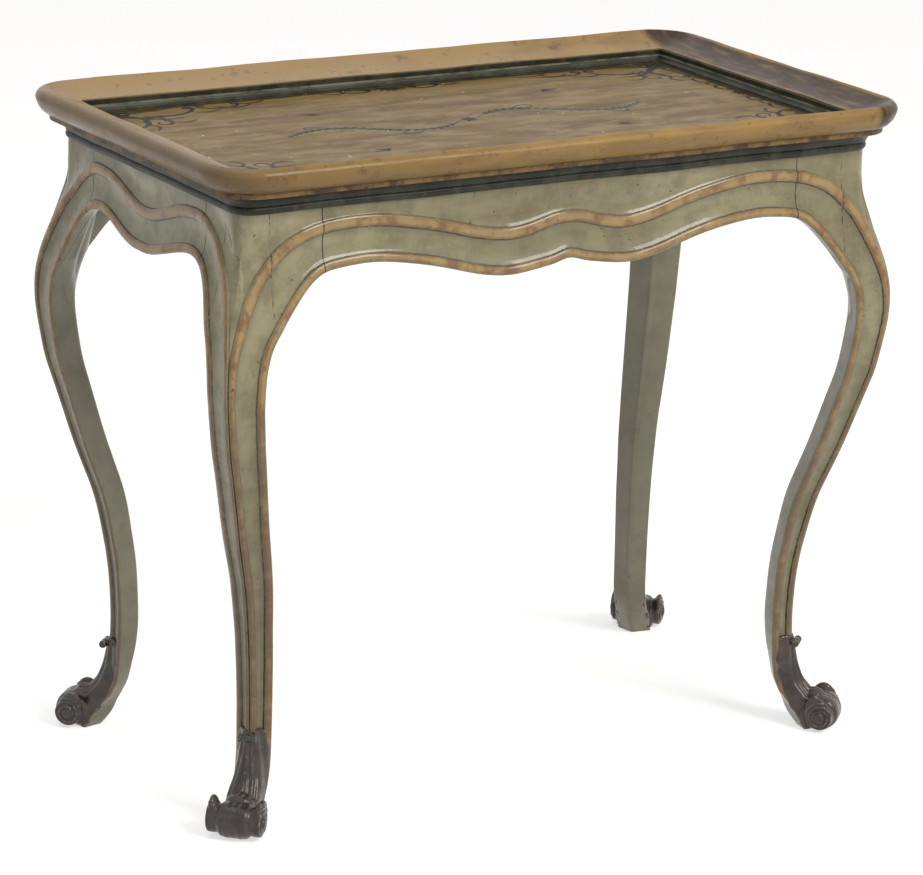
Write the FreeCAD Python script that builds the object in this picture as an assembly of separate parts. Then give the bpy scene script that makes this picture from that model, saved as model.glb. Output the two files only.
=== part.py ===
"""Centre table: a moulded tray top on a serpentine apron and four cabriole legs with scroll toes.

+X runs along the length, +Y towards the back, +Z up, and the origin is on the floor under the middle.
Lengths are in millimetres. One STEP file is written for each wooden piece.

A side piece is drawn as it lies on the right side: x is minus the inset from the rim's outermost
line, y runs along the side and z is the height. A corner piece is drawn at the back right corner,
with both insets counted from the rim's two outermost lines.
"""
import FreeCAD, Part
import math
import os

Vector = FreeCAD.Vector
UP = Vector(0, 0, 1)
ORIGIN = Vector(0, 0, 0)
ACROSS_CORNER = Vector(1, -1, 0)
QUARTER_TURN = 90.0

# Whole table
table_height = 720.0
rim_length = 840.0
rim_width = 480.0
overrun = 30.0

# Tray rim
rim_height = 28.0
rim_foot_inset = 15.0
rim_wide_height = 20.0
rim_crest_inset = 8.0
rim_slope_width = 41.0
rim_slope_drop = 14.0
rim_corner_radius = 55.0
rim_lower_bulge = 3.2
rim_upper_bulge = 2.0
rim_slope_hollow = 2.0

# Stepped moulding inside the rim
inner_moulding_height = 12.5
inner_fillet_width = 2.4
inner_step_height = 7.0
inner_step_width = 1.4
inner_cove_width = 4.6
inner_toe_height = 1.6
inner_cove_hollow = 1.2

# Top boards
board_thickness = 20.0
board_inset = 40.0
board_names = ("front", "middle", "back")

# Moulding under the rim
under_fillet_height = 5.0
under_fillet_step = 2.6
under_cove_height = 9.5
under_cove_hollow = 3.0
under_bead_width = 4.0
under_bead_bulge = 1.8
under_bead_seat = 1.6

# Legs
post_inset = 70.0
ankle_inset = 75.8
leg_sweep = 62.8
leg_stock = 57.0
arris_radius = 2.5
head_arris_radius = 13.0

# Aprons and knee brackets
apron_depth = 96.0
apron_inner_inset = 62.0
long_bracket_length = 60.0
short_bracket_length = 40.0

# Beads carved along the legs, brackets and aprons
bead_height = 3.0
bead_root = 4.0
apron_bead_width = 13.0
arris_bead_width = 7.6
edge_bead_width = 10.0
arris_bead_end_height = 64.0
edge_bead_end_height = 46.0

# Scroll toes with their leaves
scroll_centre_inset = 39.0
scroll_centre_height = 20.6
scroll_radius = 21.6
scroll_half_width = 33.0
scroll_eye_radius = 5.0
scroll_eye_height = 2.0
leaf_height = 97.0
leaf_width = 24.0
leaf_thickness = 4.2
leaf_curl_radius = 4.6
leaf_curl_length = 13.0
leaf_curl_drop = 6.0
leaf_curl_inset = 71.0

# Tenons, pegs, dowels and glue blocks
tenon_length = 26.0
tenon_thickness = 9.0
tenon_height = 44.0
tenon_drop = 14.0
tenon_inset = 46.0
fit_clearance = 0.2
mortise_spare = 1.0
peg_radius = 3.0
peg_length = 18.0
dowel_radius = 4.0
dowel_length = 20.0
dowel_spacing = 30.0
dowel_drop = 22.0
dowel_inset = 51.0
glue_block_length = 70.0
glue_block_width = 22.0
glue_block_height = 24.0
glue_block_chamfer = 12.0
long_block_place_share = 0.36

# Leg stations: height, outward sweep, width of the outer faces and depth of the back arris.
# Heights are shares of the frame height, sweeps of leg_sweep, widths and depths of leg_stock.
leg_shares = (
    (0.0, 0.475, 0.474, 0.404),
    (0.021, 0.379, 0.470, 0.432),
    (0.042, 0.268, 0.468, 0.391),
    (0.060, 0.156, 0.467, 0.340),
    (0.074, 0.092, 0.467, 0.326),
    (0.092, 0.045, 0.467, 0.325),
    (0.119, 0.019, 0.468, 0.346),
    (0.149, 0.010, 0.470, 0.386),
    (0.184, 0.000, 0.472, 0.402),
    (0.223, 0.006, 0.481, 0.404),
    (0.277, 0.038, 0.502, 0.416),
    (0.330, 0.108, 0.526, 0.433),
    (0.384, 0.201, 0.558, 0.454),
    (0.438, 0.344, 0.593, 0.477),
    (0.491, 0.505, 0.630, 0.496),
    (0.545, 0.650, 0.662, 0.514),
    (0.598, 0.790, 0.690, 0.532),
    (0.632, 0.872, 0.706, 0.544),
    (0.667, 0.928, 0.722, 0.556),
    (0.701, 0.975, 0.740, 0.570),
    (0.735, 0.998, 0.772, 0.590),
    (0.762, 0.990, 0.808, 0.640),
    (0.782, 0.968, 0.880, 0.730),
    (0.799, 0.942, 0.940, 0.860),
    (0.818, 0.905, 0.915, 0.915),
    (0.836, 0.860, 0.865, 0.865),
    (0.856, 0.800, 0.800, 0.800),
    (0.875, 0.753, 0.750, 0.750),
    (0.893, 0.700, 0.690, 0.690),
    (0.911, 0.640, 0.625, 0.625),
    (0.932, 0.590, 0.570, 0.570),
    (0.955, 0.583, 0.560, 0.560),
    (0.978, 0.596, 0.575, 0.575),
    (1.0, 0.618, 0.600, 0.600),
)

# Lower edges from the middle of a side to the leg post. Places are shares of the distance to the
# post, and depths below the frame's top are shares of apron_depth.
long_edge_shares = (
    (0.0, 0.885), (0.045, 0.920), (0.103, 0.958), (0.157, 0.984), (0.205, 0.994), (0.257, 0.980),
    (0.320, 0.938), (0.386, 0.875), (0.460, 0.806), (0.543, 0.745), (0.617, 0.706), (0.686, 0.690),
    (0.757, 0.705), (0.800, 0.725), (0.832, 0.758), (0.866, 0.833), (0.900, 0.948), (0.931, 1.078),
    (0.960, 1.208), (0.983, 1.323), (1.0, 1.406),
)
short_edge_shares = (
    (0.0, 0.896), (0.100, 0.890), (0.200, 0.860), (0.310, 0.810), (0.420, 0.753), (0.520, 0.709),
    (0.618, 0.690), (0.694, 0.708), (0.753, 0.750), (0.812, 0.833), (0.865, 0.958), (0.912, 1.104),
    (0.947, 1.229), (0.976, 1.333), (1.0, 1.406),
)

# The upper bead's middle line to the post, in the same shares.
long_crest_shares = (
    (0.0, 0.440), (0.045, 0.450), (0.100, 0.498), (0.157, 0.540), (0.205, 0.552), (0.260, 0.531),
    (0.329, 0.479), (0.400, 0.411), (0.471, 0.349), (0.543, 0.297), (0.614, 0.256), (0.686, 0.240),
    (0.760, 0.245), (0.837, 0.281), (0.900, 0.349), (0.951, 0.443), (1.0, 0.589),
)
short_crest_shares = (
    (0.0, 0.479), (0.118, 0.461), (0.206, 0.417), (0.294, 0.370), (0.382, 0.318), (0.471, 0.276),
    (0.559, 0.250), (0.647, 0.240), (0.735, 0.255), (0.824, 0.318), (0.900, 0.410), (1.0, 0.589),
)

# The upper bead crossing the leg's head: share of leg_stock past the post, share of apron_depth.
head_crest_shares = (
    (0.105, 0.658), (0.228, 0.735), (0.350, 0.839), (0.460, 0.948), (0.560, 1.068), (0.665, 1.208),
    (0.745, 1.344), (0.810, 1.479),
)
arris_bead_top_share = 0.762
bead_taper_share = 0.85

# Scroll leaf: height as a share of leaf_height, width and thickness as shares of their sizes.
leaf_shares = (
    (0.0, 1.0, 1.9), (0.15, 1.0, 1.9), (0.29, 1.0, 1.8), (0.42, 1.0, 1.3), (0.55, 0.95, 1.0),
    (0.70, 0.86, 0.95), (0.84, 0.68, 1.0), (0.94, 0.46, 1.1), (1.0, 0.25, 1.0),
)

# Scroll: place across the toe as a share of its half width, and radius as a share of scroll_radius.
scroll_shares = (
    (-1.0, 0.40), (-0.90, 0.60), (-0.70, 0.60), (-0.62, 0.93), (-0.50, 1.0),
    (0.50, 1.0), (0.62, 0.93), (0.70, 0.60), (0.90, 0.60), (1.0, 0.40),
)

# Rounded bead: places across its width and heights, as shares of its width and height.
bead_shares = ((-0.27, 1.0), (0.27, 1.0))

# How finely the carved and rounded forms are faceted
long_side_stations = 25
short_side_stations = 15
leg_bead_stations = 9
leg_row_step = 2
corner_steps = 6
mitre_steps = 3
arc_chords = 3
scroll_facets = 12
bar_facets = 6
slope_step_share = 0.004

# Places that follow from the sizes above
half_length = rim_length / 2
half_width = rim_width / 2
seat_height = table_height - rim_height
frame_height = seat_height - board_thickness
rim_inner_inset = rim_crest_inset + rim_slope_width
arch_foot_height = frame_height - long_edge_shares[-1][1] * apron_depth
loft_rows = leg_shares[:-1:leg_row_step] + leg_shares[-1:]
SIDES = (
    ("right", half_length, half_width, "back", "front"),
    ("back", half_width, half_length, "left", "right"),
    ("left", half_length, half_width, "front", "back"),
    ("front", half_width, half_length, "right", "left"),
)


def interpolated(points):
    """Returns a smooth curve through the points."""
    curve = Part.BSplineCurve()
    curve.interpolate(points)
    return curve


def parameter_at(curve, axis, wanted, low, high):
    """Returns the parameter between low and high where a steady coordinate reaches a value."""
    rising = curve.value(high)[axis] > curve.value(low)[axis]
    for _ in range(50):
        middle = (low + high) / 2
        if (curve.value(middle)[axis] < wanted) == rising:
            low = middle
        else:
            high = middle
    return (low + high) / 2


def leg_curve(column, start, scale):
    """Returns one column of the leg stations as a curve over height."""
    return interpolated([Vector(start + row[column] * scale, 0, row[0] * frame_height) for row in leg_shares])


inset_curve = leg_curve(1, ankle_inset, -leg_sweep)
face_curve = leg_curve(2, 0, leg_stock)
back_curve = leg_curve(3, 0, leg_stock)


def read(curve, height):
    """Returns a height curve's value at one height."""
    return curve.value(parameter_at(curve, 2, height, curve.FirstParameter, curve.LastParameter)).x


def surface_point(along, height):
    """Returns a point of a side's outer face."""
    return Vector(-read(inset_curve, height), along, height)


def surface_normal(height):
    """Returns the outward direction of a side's outer face at a height."""
    step = slope_step_share * frame_height
    slope = (read(inset_curve, height + step) - read(inset_curve, height - step)) / (2 * step)
    return Vector(1, 0, slope).normalize()


def bulged(start, end, bulge):
    """Returns points from start to end along an arc that stands off the chord's left by the bulge."""
    chord = end - start
    left = Vector(-chord.z, 0, chord.x).normalize()
    arc = Part.Arc(start, (start + end) / 2 + left * bulge, end).toShape()
    return [start] + arc.discretize(arc_chords + 1)[1:-1] + [end]


def outline(points):
    """Returns the closed wire through the points."""
    return Part.makePolygon(points + points[:1])


def face_of(points):
    """Returns the flat face inside the points' closed outline."""
    return Part.Face(outline(points))


def skinned(rings):
    """Returns the solid that joins the rings of points with flat facets."""
    faces = [face_of(rings[0]), face_of(rings[-1])]
    for low, high in zip(rings, rings[1:]):
        for index in range(len(low)):
            following = (index + 1) % len(low)
            faces.append(face_of([low[index], low[following], high[following]]))
            faces.append(face_of([low[index], high[following], high[index]]))
    shell = Part.Shell(faces)
    shell.sewShape()
    solid = Part.Solid(Part.Shell(shell.Faces)).removeSplitter()
    if solid.Volume < 0:
        solid.reverse()
    return solid


def box_between(low, high):
    """Returns the box with these two corners."""
    size = high - low
    return Part.makeBox(size.x, size.y, size.z, low)


def moved(shape, travel):
    """Returns a moved copy of the shape."""
    copy = shape.copy()
    copy.translate(travel)
    return copy


def on_side(shape, turns):
    """Returns a side piece moved to the right, back, left or front side: 0, 1, 2 or 3 turns."""
    copy = moved(shape, Vector(SIDES[turns][1], 0, 0))
    copy.rotate(ORIGIN, UP, turns * QUARTER_TURN)
    return copy


def other_end(shape):
    """Returns a side piece's mirror image at the side's other end."""
    return shape.mirror(ORIGIN, Vector(0, 1, 0))


def at_corner(shape, back, right):
    """Returns a corner piece moved to one of the four corners."""
    copy = moved(shape, Vector(half_length, half_width, 0))
    if not right:
        copy = copy.mirror(ORIGIN, Vector(1, 0, 0))
    if not back:
        copy = copy.mirror(ORIGIN, Vector(0, 1, 0))
    return copy


def section(inset, height):
    """Returns a moulding section's point from its inset and its height above the rim's seat."""
    return Vector(-inset, 0, seat_height + height)


def rim_section():
    """Returns the tray rim's outline: rounded outside, with a hollow slope down to the tray."""
    foot = section(rim_foot_inset, 0)
    widest = section(0, rim_wide_height)
    crest = section(rim_crest_inset, rim_height)
    slope_end = section(rim_inner_inset, rim_height - rim_slope_drop)
    outer = bulged(foot, widest, -rim_lower_bulge) + bulged(widest, crest, -rim_upper_bulge)[1:]
    return outer + bulged(crest, slope_end, -rim_slope_hollow)[1:] + [section(rim_inner_inset, 0)]


def inner_moulding_section():
    """Returns the outline of the stepped moulding between the rim and the boards."""
    step_inset = rim_inner_inset + inner_fillet_width
    cove_inset = step_inset + inner_step_width
    toe_inset = cove_inset + inner_cove_width
    step = section(cove_inset, inner_step_height)
    toe = section(toe_inset, inner_toe_height)
    foot = [section(toe_inset, 0), section(rim_inner_inset, 0)]
    top = [section(rim_inner_inset, inner_moulding_height), section(step_inset, inner_moulding_height)]
    return foot + top + [section(step_inset, inner_step_height)] + bulged(step, toe, -inner_cove_hollow)


def under_moulding_section():
    """Returns the outline of the moulding under the rim: fillet, cove and bead."""
    cove_inset = rim_foot_inset + under_fillet_step
    bead_inset = board_inset - under_bead_width
    cove_foot = under_fillet_height + under_cove_height
    bead_top = section(bead_inset, -cove_foot)
    bead_foot = section(bead_inset, -board_thickness)
    cove_top = section(cove_inset, -under_fillet_height)
    cove_end = section(bead_inset - under_bead_seat, -cove_foot)
    back = [section(board_inset, -board_thickness), section(board_inset, 0)]
    top = [section(rim_foot_inset, 0), section(rim_foot_inset, -under_fillet_height)]
    cove = bulged(cove_top, cove_end, under_cove_hollow)
    return back + top + cove + bulged(bead_top, bead_foot, under_bead_bulge)


def straight_run(points, half_run):
    """Returns a straight side piece with this section."""
    start = moved(face_of(points), Vector(0, -half_run, 0))
    return start.extrude(Vector(0, 2 * half_run, 0))


def corner_turn(points, steps):
    """Returns the rounded corner piece with this section, up to a number of the corner's steps."""
    rings = []
    for index in range(steps + 1):
        angle = math.radians(QUARTER_TURN) * index / corner_steps
        ring = []
        for point in points:
            radius = rim_corner_radius + point.x
            place = Vector(radius * math.cos(angle), radius * math.sin(angle), point.z)
            ring.append(place - Vector(rim_corner_radius, rim_corner_radius, 0))
        rings.append(ring)
    return skinned(rings)


def mitre_wedge(half_side, depth):
    """Returns the block between a side's two mitre planes, down to the given inset."""
    corners = [
        Vector(overrun, half_side + overrun, 0),
        Vector(-depth, half_side - depth, 0),
        Vector(-depth, depth - half_side, 0),
        Vector(overrun, -half_side - overrun, 0),
    ]
    return face_of(corners).extrude(Vector(0, 0, table_height + overrun))


def rounded_moulding(points, half_side):
    """Returns a mitred moulding whose ends follow the rim's rounded corners up to the mitre."""
    run = straight_run(points, half_side - rim_corner_radius)
    turn = moved(corner_turn(points, mitre_steps), Vector(0, half_side, 0))
    return run.fuse([turn, other_end(turn)])


def square_moulding(points, half_side):
    """Returns a mitred moulding with square ends."""
    run = straight_run(points, half_side)
    return run.common(mitre_wedge(half_side, rim_inner_inset + overrun))


def bead_width(height, top_width, low_width):
    """Returns a bead's width: its full width on the apron, tapering to the leg's width below."""
    taper_top = frame_height - apron_depth
    taper_foot = taper_top * bead_taper_share
    share = min(max((height - taper_foot) / (taper_top - taper_foot), 0), 1)
    return low_width + (top_width - low_width) * share


def bead_strip(path, first, last, count, top_width, low_width):
    """Returns a rounded bead that follows a carved line on a side's outer face.

    The line's x is the place along the side and its z the height.
    """
    rings = []
    for index in range(count):
        parameter = first + (last - first) * index / (count - 1)
        spot = path.value(parameter)
        heading = path.tangent(parameter)[0]
        normal = surface_normal(spot.z)
        middle = surface_point(spot.x, spot.z)
        ahead = Vector(-normal.z * heading.z / normal.x, heading.x, heading.z)
        across = normal.cross(ahead).normalize()
        width = bead_width(spot.z, top_width, low_width)
        crown = [middle + across * width * place + normal * bead_height * rise for place, rise in bead_shares]
        left = middle - across * width / 2 - normal * bead_root
        right = middle + across * width / 2 - normal * bead_root
        rings.append([left] + crown + [right])
    return skinned(rings)


def share_points(shares, post):
    """Returns a side's carved line from its shares, as points of place and height."""
    return [Vector(place * post, 0, frame_height - depth * apron_depth) for place, depth in shares]


def both_halves(points):
    """Returns a line from end to end of a side from the half that starts in the middle."""
    return [Vector(-p.x, 0, p.z) for p in reversed(points[1:])] + points


def shifted_line(points, shift):
    """Returns a line beside another one, to the left of its heading."""
    curve = interpolated(points)
    result = []
    for point in points:
        heading = curve.tangent(curve.parameter(point))[0]
        result.append(point + Vector(-heading.z, 0, heading.x) * shift)
    return result


class CarvedSide:
    """The carved lines of one side: its lower edge and the middle lines of its two beads."""

    def __init__(self, half_side, stations, edge_shares, crest_shares):
        post = half_side - post_inset
        leg_rows = [row for row in reversed(leg_shares) if row[0] * frame_height < arch_foot_height]
        ankle = half_side - ankle_inset
        arris = [Vector(ankle + row[1] * leg_sweep, 0, row[0] * frame_height) for row in leg_rows]
        inner = [p - Vector(row[2] * leg_stock, 0, 0) for p, row in zip(arris, leg_rows)]
        edge = share_points(edge_shares, post)
        head = [
            Vector(post + past * leg_stock, 0, frame_height - depth * apron_depth)
            for past, depth in head_crest_shares
        ]
        bead_inset = Vector(arris_bead_width / 2, 0, 0)
        low_arris = [p - bead_inset for p in arris if p.z < arris_bead_top_share * frame_height]
        self.half_side = half_side
        self.stations = stations
        self.post = post
        self.edge = interpolated(both_halves(edge))
        edge_bead = shifted_line(both_halves(edge + inner), edge_bead_width / 2)
        self.edge_bead = interpolated(edge_bead)
        crest = share_points(crest_shares, post) + head + low_arris
        self.crest_bead = interpolated(both_halves(crest))

    def beads(self):
        """Returns each bead's line with its widths on the apron and on the leg."""
        return (
            (self.edge_bead, edge_bead_width, edge_bead_width, edge_bead_end_height),
            (self.crest_bead, apron_bead_width, arris_bead_width, arris_bead_end_height),
        )

    def side_beads(self):
        """Returns the stretches of both beads on the apron and brackets."""
        strips = []
        for path, top_width, low_width, _ in self.beads():
            middle = (path.FirstParameter + path.LastParameter) / 2
            knee = parameter_at(path, 2, arch_foot_height - apron_bead_width, path.LastParameter, middle)
            last = parameter_at(path, 0, self.post + apron_bead_width / 2, middle, knee)
            strips.append(bead_strip(path, 2 * middle - last, last, self.stations, top_width, low_width))
        return strips

    def leg_beads(self):
        """Returns the stretches of both beads on the leg at the side's far end, in the corner's place."""
        strips = []
        for path, top_width, low_width, end_height in self.beads():
            middle = (path.FirstParameter + path.LastParameter) / 2
            knee = parameter_at(path, 2, arch_foot_height - apron_bead_width, path.LastParameter, middle)
            first = parameter_at(path, 0, self.post - apron_bead_width / 2, middle, knee)
            last = parameter_at(path, 2, end_height, path.LastParameter, knee)
            strip = bead_strip(path, first, last, leg_bead_stations, top_width, low_width)
            strips.append(moved(strip, Vector(0, -self.half_side, 0)))
        return strips

    def panel(self):
        """Returns the whole carved side between its posts, before it is cut into pieces."""
        heights = [row[0] * frame_height for row in loft_rows]
        outer = [surface_point(0, height) for height in heights if height > arch_foot_height - overrun]
        back = [Vector(-apron_inner_inset, 0, frame_height), Vector(-apron_inner_inset, 0, outer[0].z)]
        profile = moved(face_of(outer + back), Vector(0, -self.post, 0))
        block = profile.extrude(Vector(0, 2 * self.post, 0))
        edge = [Vector(-half_length, p.x, p.z) for p in self.edge_points()]
        rise = Vector(0, 0, frame_height - edge[0].z + overrun)
        arches = face_of(edge + [edge[-1] + rise, edge[0] + rise])
        scallop = arches.extrude(Vector(half_length + overrun, 0, 0))
        return block.common(scallop).fuse(self.side_beads()).common(self.reach_box(-self.post, self.post))

    def edge_points(self):
        """Returns the lower edge's points from post to post."""
        count = self.stations
        first = self.edge.FirstParameter
        last = self.edge.LastParameter
        return [self.edge.value(first + (last - first) * i / count) for i in range(count + 1)]

    def reach_box(self, low, high):
        """Returns a tall box between two places along the side."""
        return box_between(Vector(-half_length, low, 0), Vector(overrun, high, frame_height))


def tenon_box(joint, spare, length):
    """Returns the tenon at one joint, or with a spare the mortise for it."""
    top = frame_height - tenon_drop
    low = Vector(-tenon_inset - tenon_thickness - spare, joint - mortise_spare, top - tenon_height - spare)
    high = Vector(-tenon_inset + spare, joint + length, top + spare)
    return box_between(low, high)


def faceted_bar(radius, start, travel, facets):
    """Returns a whittled bar: a regular prism of the given outer radius."""
    side = travel.cross(UP).normalize()
    rise = side.cross(travel).normalize()
    corners = []
    for index in range(facets):
        angle = 2 * math.pi * (index + 1 / 2) / facets
        corners.append(start + side * radius * math.cos(angle) + rise * radius * math.sin(angle))
    return face_of(corners).extrude(travel)


def peg(joint, radius):
    """Returns the peg that locks a tenon, driven from the back of the bracket."""
    height = frame_height - tenon_drop - tenon_height / 2
    start = Vector(-apron_inner_inset, joint + tenon_length / 2, height)
    return faceted_bar(radius, start, Vector(peg_length, 0, 0), bar_facets)


def dowels(post, radius, spare):
    """Returns the two dowels between a bracket and its leg post."""
    result = []
    for index in range(2):
        height = frame_height - dowel_drop - index * dowel_spacing
        start = Vector(-dowel_inset, post - dowel_length / 2 - spare, height)
        result.append(faceted_bar(radius, start, Vector(0, dowel_length + 2 * spare, 0), bar_facets))
    return result


def leg_section(height):
    """Returns the leg's kite section at a height, drawn in the corner's place."""
    inset = read(inset_curve, height)
    face = read(face_curve, height)
    back = read(back_curve, height)
    head_share = max(height - arch_foot_height, 0) / (frame_height - arch_foot_height)
    radius = arris_radius + (head_arris_radius - arris_radius) * head_share
    nearest = inset + radius * (1 - math.sqrt(2) / 2)
    return [
        Vector(-inset, -inset - radius, height),
        Vector(-nearest, -nearest, height),
        Vector(-inset - radius, -inset, height),
        Vector(-inset - face, -inset, height),
        Vector(-inset - back, -inset - back, height),
        Vector(-inset, -inset - face, height),
    ]


def plain_leg():
    """Returns the leg without its beads: a cabriole form whose head is squared for the brackets."""
    return skinned([leg_section(row[0] * frame_height) for row in loft_rows]).cut(head_cuts())


def head_cuts():
    """Returns the two blocks that square the leg's head at the planes of the brackets."""
    low = Vector(-half_width, -half_width, arch_foot_height - leg_stock)
    right_high = Vector(-post_inset, overrun, frame_height + overrun)
    back_high = Vector(overrun, -post_inset, frame_height + overrun)
    return [box_between(low, right_high), box_between(low, back_high)]


def carved_leg(leg, long_side, short_side):
    """Returns the leg with its four beads and its dowel holes."""
    right_beads = short_side.leg_beads()
    back_beads = [bead.mirror(ORIGIN, ACROSS_CORNER) for bead in long_side.leg_beads()]
    floor = box_between(Vector(-half_width, -half_width, -overrun), Vector(overrun, overrun, 0))
    carved = leg.fuse(right_beads + back_beads).cut(head_cuts() + [floor])
    side_holes = dowels(short_side.post, dowel_radius, mortise_spare)
    right_holes = [moved(hole, Vector(0, -half_width, 0)) for hole in side_holes]
    back_holes = [hole.mirror(ORIGIN, ACROSS_CORNER) for hole in right_holes]
    return carved.cut(right_holes + back_holes)


def leaf():
    """Returns the leaf that climbs the leg's arris, before the leg is cut out of it."""
    rings = []
    for height_share, width_share, thickness_share in leaf_shares:
        height = height_share * leaf_height
        near = read(inset_curve, height) - leaf_thickness * thickness_share
        far = near + leaf_width * width_share
        rings.append([
            Vector(-near, -near, height),
            Vector(-near, -far, height),
            Vector(-far, -far, height),
            Vector(-far, -near, height),
        ])
    return skinned(rings)


def spindle(half_reach, inset, height, radius):
    """Returns a plain bar across the corner's diagonal."""
    across = Vector(1, -1, 0).normalize() * half_reach
    start = Vector(-inset, -inset, height) - across
    return faceted_bar(radius, start, across * 2, bar_facets)


def scroll():
    """Returns the scroll of the toe: a drum with a smaller ear and an eye at each end."""
    across = Vector(1, -1, 0).normalize()
    ahead = Vector(1, 1, 0).normalize()
    centre = Vector(-scroll_centre_inset, -scroll_centre_inset, scroll_centre_height)
    rings = []
    for place_share, radius_share in scroll_shares:
        radius = scroll_radius * radius_share
        middle = centre + across * scroll_half_width * place_share
        ring = []
        for index in range(scroll_facets):
            angle = 2 * math.pi * (index + 1 / 2) / scroll_facets
            ring.append(middle + ahead * radius * math.sin(angle) - UP * radius * math.cos(angle))
        rings.append(ring)
    eye_reach = scroll_half_width + scroll_eye_height
    eyes = spindle(eye_reach, scroll_centre_inset, scroll_centre_height, scroll_eye_radius)
    return skinned(rings).fuse(eyes)


def toe(leg):
    """Returns the scroll toe with its leaf, seated on the leg."""
    curl = spindle(leaf_curl_length / 2, leaf_curl_inset, leaf_height - leaf_curl_drop, leaf_curl_radius)
    floor = box_between(Vector(-half_width, -half_width, -overrun), Vector(overrun, overrun, 0))
    whole = leaf().fuse([scroll(), curl]).cut([leg, floor])
    return max(whole.Solids, key=lambda solid: solid.Volume)


def boards():
    """Returns the top's boards, side by side from front to back, with rounded outer corners."""
    depth = half_width - board_inset
    radius = rim_corner_radius - board_inset
    corners = []
    for turns, (right, back) in enumerate(((1, 1), (-1, 1), (-1, -1), (1, -1))):
        centre_x = right * (half_length - rim_corner_radius)
        centre_y = back * (half_width - rim_corner_radius)
        centre = Vector(centre_x, centre_y, frame_height)
        for index in range(corner_steps + 1):
            angle = math.radians(QUARTER_TURN) * (turns + index / corner_steps)
            corners.append(centre + Vector(math.cos(angle), math.sin(angle), 0) * radius)
    slab = face_of(corners).extrude(Vector(0, 0, board_thickness))
    width = 2 * depth / len(board_names)
    result = {}
    for index, name in enumerate(board_names):
        low = Vector(-half_length, -depth + index * width, 0)
        high = Vector(half_length, -depth + (index + 1) * width, table_height)
        result["top_board_" + name] = slab.common(box_between(low, high))
    return result


def glue_block():
    """Returns a glue block in the angle between the apron and the boards, at the middle of a side."""
    back = -apron_inner_inset
    low = frame_height - glue_block_height
    corners = [
        Vector(back, 0, frame_height),
        Vector(back - glue_block_width, 0, frame_height),
        Vector(back - glue_block_width, 0, low + glue_block_chamfer),
        Vector(back - glue_block_width + glue_block_chamfer, 0, low),
        Vector(back, 0, low),
    ]
    start = moved(face_of(corners), Vector(0, -glue_block_length / 2, 0))
    return start.extrude(Vector(0, glue_block_length, 0))


def side_pieces(side, bracket_length, name, turns):
    """Returns one side's apron and two knee brackets, with the pegs and dowels that hold them."""
    panel = side.panel()
    joint = side.post - bracket_length
    tenon = tenon_box(joint, 0, tenon_length)
    peg_hole = peg(joint, peg_radius + fit_clearance)
    apron = panel.common(side.reach_box(-joint, joint)).fuse([tenon, other_end(tenon)])
    apron = apron.cut([peg_hole, other_end(peg_hole)])
    mortise = tenon_box(joint, fit_clearance, tenon_length + mortise_spare)
    holes = dowels(side.post, dowel_radius, mortise_spare)
    bracket = panel.common(side.reach_box(joint, side.post)).cut([mortise, peg_hole] + holes)
    pin = peg(joint, peg_radius)
    pins = dowels(side.post, dowel_radius - fit_clearance, 0)
    ends = SIDES[turns][3:]
    return (
        {
            "apron_" + name: on_side(apron, turns),
            "knee_bracket_" + name + "_" + ends[0]: on_side(bracket, turns),
            "knee_bracket_" + name + "_" + ends[1]: on_side(other_end(bracket), turns),
        },
        [on_side(pin, turns), on_side(other_end(pin), turns)],
        [on_side(dowel, turns) for dowel in pins + [other_end(dowel) for dowel in pins]],
    )


def top_pieces():
    """Returns the boards, the rim and the mouldings."""
    pieces = boards()
    rim_corner = corner_turn(rim_section(), corner_steps)
    corners = [at_corner(rim_corner, back, right) for back in (True, False) for right in (True, False)]
    for turns, (name, _, half_side, _, _) in enumerate(SIDES):
        rail = straight_run(rim_section(), half_side - rim_corner_radius)
        inner = square_moulding(inner_moulding_section(), half_side)
        under = rounded_moulding(under_moulding_section(), half_side)
        pieces["rim_rail_" + name] = on_side(rail, turns)
        pieces["inner_moulding_" + name] = on_side(inner, turns).cut(corners)
        pieces["under_moulding_" + name] = on_side(under, turns)
    for back_name, back in (("back", True), ("front", False)):
        for side_name, right in (("right", True), ("left", False)):
            pieces["rim_corner_" + back_name + "_" + side_name] = at_corner(rim_corner, back, right)
    return pieces


def frame_pieces():
    """Returns the aprons, brackets, legs and toes with what joins them."""
    long_side = CarvedSide(half_length, long_side_stations, long_edge_shares, long_crest_shares)
    short_side = CarvedSide(half_width, short_side_stations, short_edge_shares, short_crest_shares)
    leg = plain_leg()
    carved = carved_leg(leg, long_side, short_side)
    foot = toe(carved)
    pieces = {}
    pegs = []
    dowel_pins = []
    for turns, (name, _, half_side, _, _) in enumerate(SIDES):
        is_long = half_side == half_length
        side = long_side if is_long else short_side
        bracket_length = long_bracket_length if is_long else short_bracket_length
        solids, side_pegs, side_dowels = side_pieces(side, bracket_length, name, turns)
        pieces.update(solids)
        pegs += side_pegs
        dowel_pins += side_dowels
    for back_name, back in (("back", True), ("front", False)):
        for side_name, right in (("right", True), ("left", False)):
            pieces["leg_" + back_name + "_" + side_name] = at_corner(carved, back, right)
            pieces["toe_" + back_name + "_" + side_name] = at_corner(foot, back, right)
    pieces["tenon_pegs"] = Part.makeCompound(pegs)
    pieces["bracket_dowels"] = Part.makeCompound(dowel_pins)
    block = glue_block()
    place = Vector(0, long_block_place_share * long_side.post, 0)
    for turns, (name, _, half_side, first_end, second_end) in enumerate(SIDES):
        if half_side == half_length:
            pieces["glue_block_" + name + "_" + first_end] = on_side(moved(block, place), turns)
            pieces["glue_block_" + name + "_" + second_end] = on_side(moved(block, -place), turns)
        else:
            pieces["glue_block_" + name] = on_side(block, turns)
    return pieces


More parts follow.
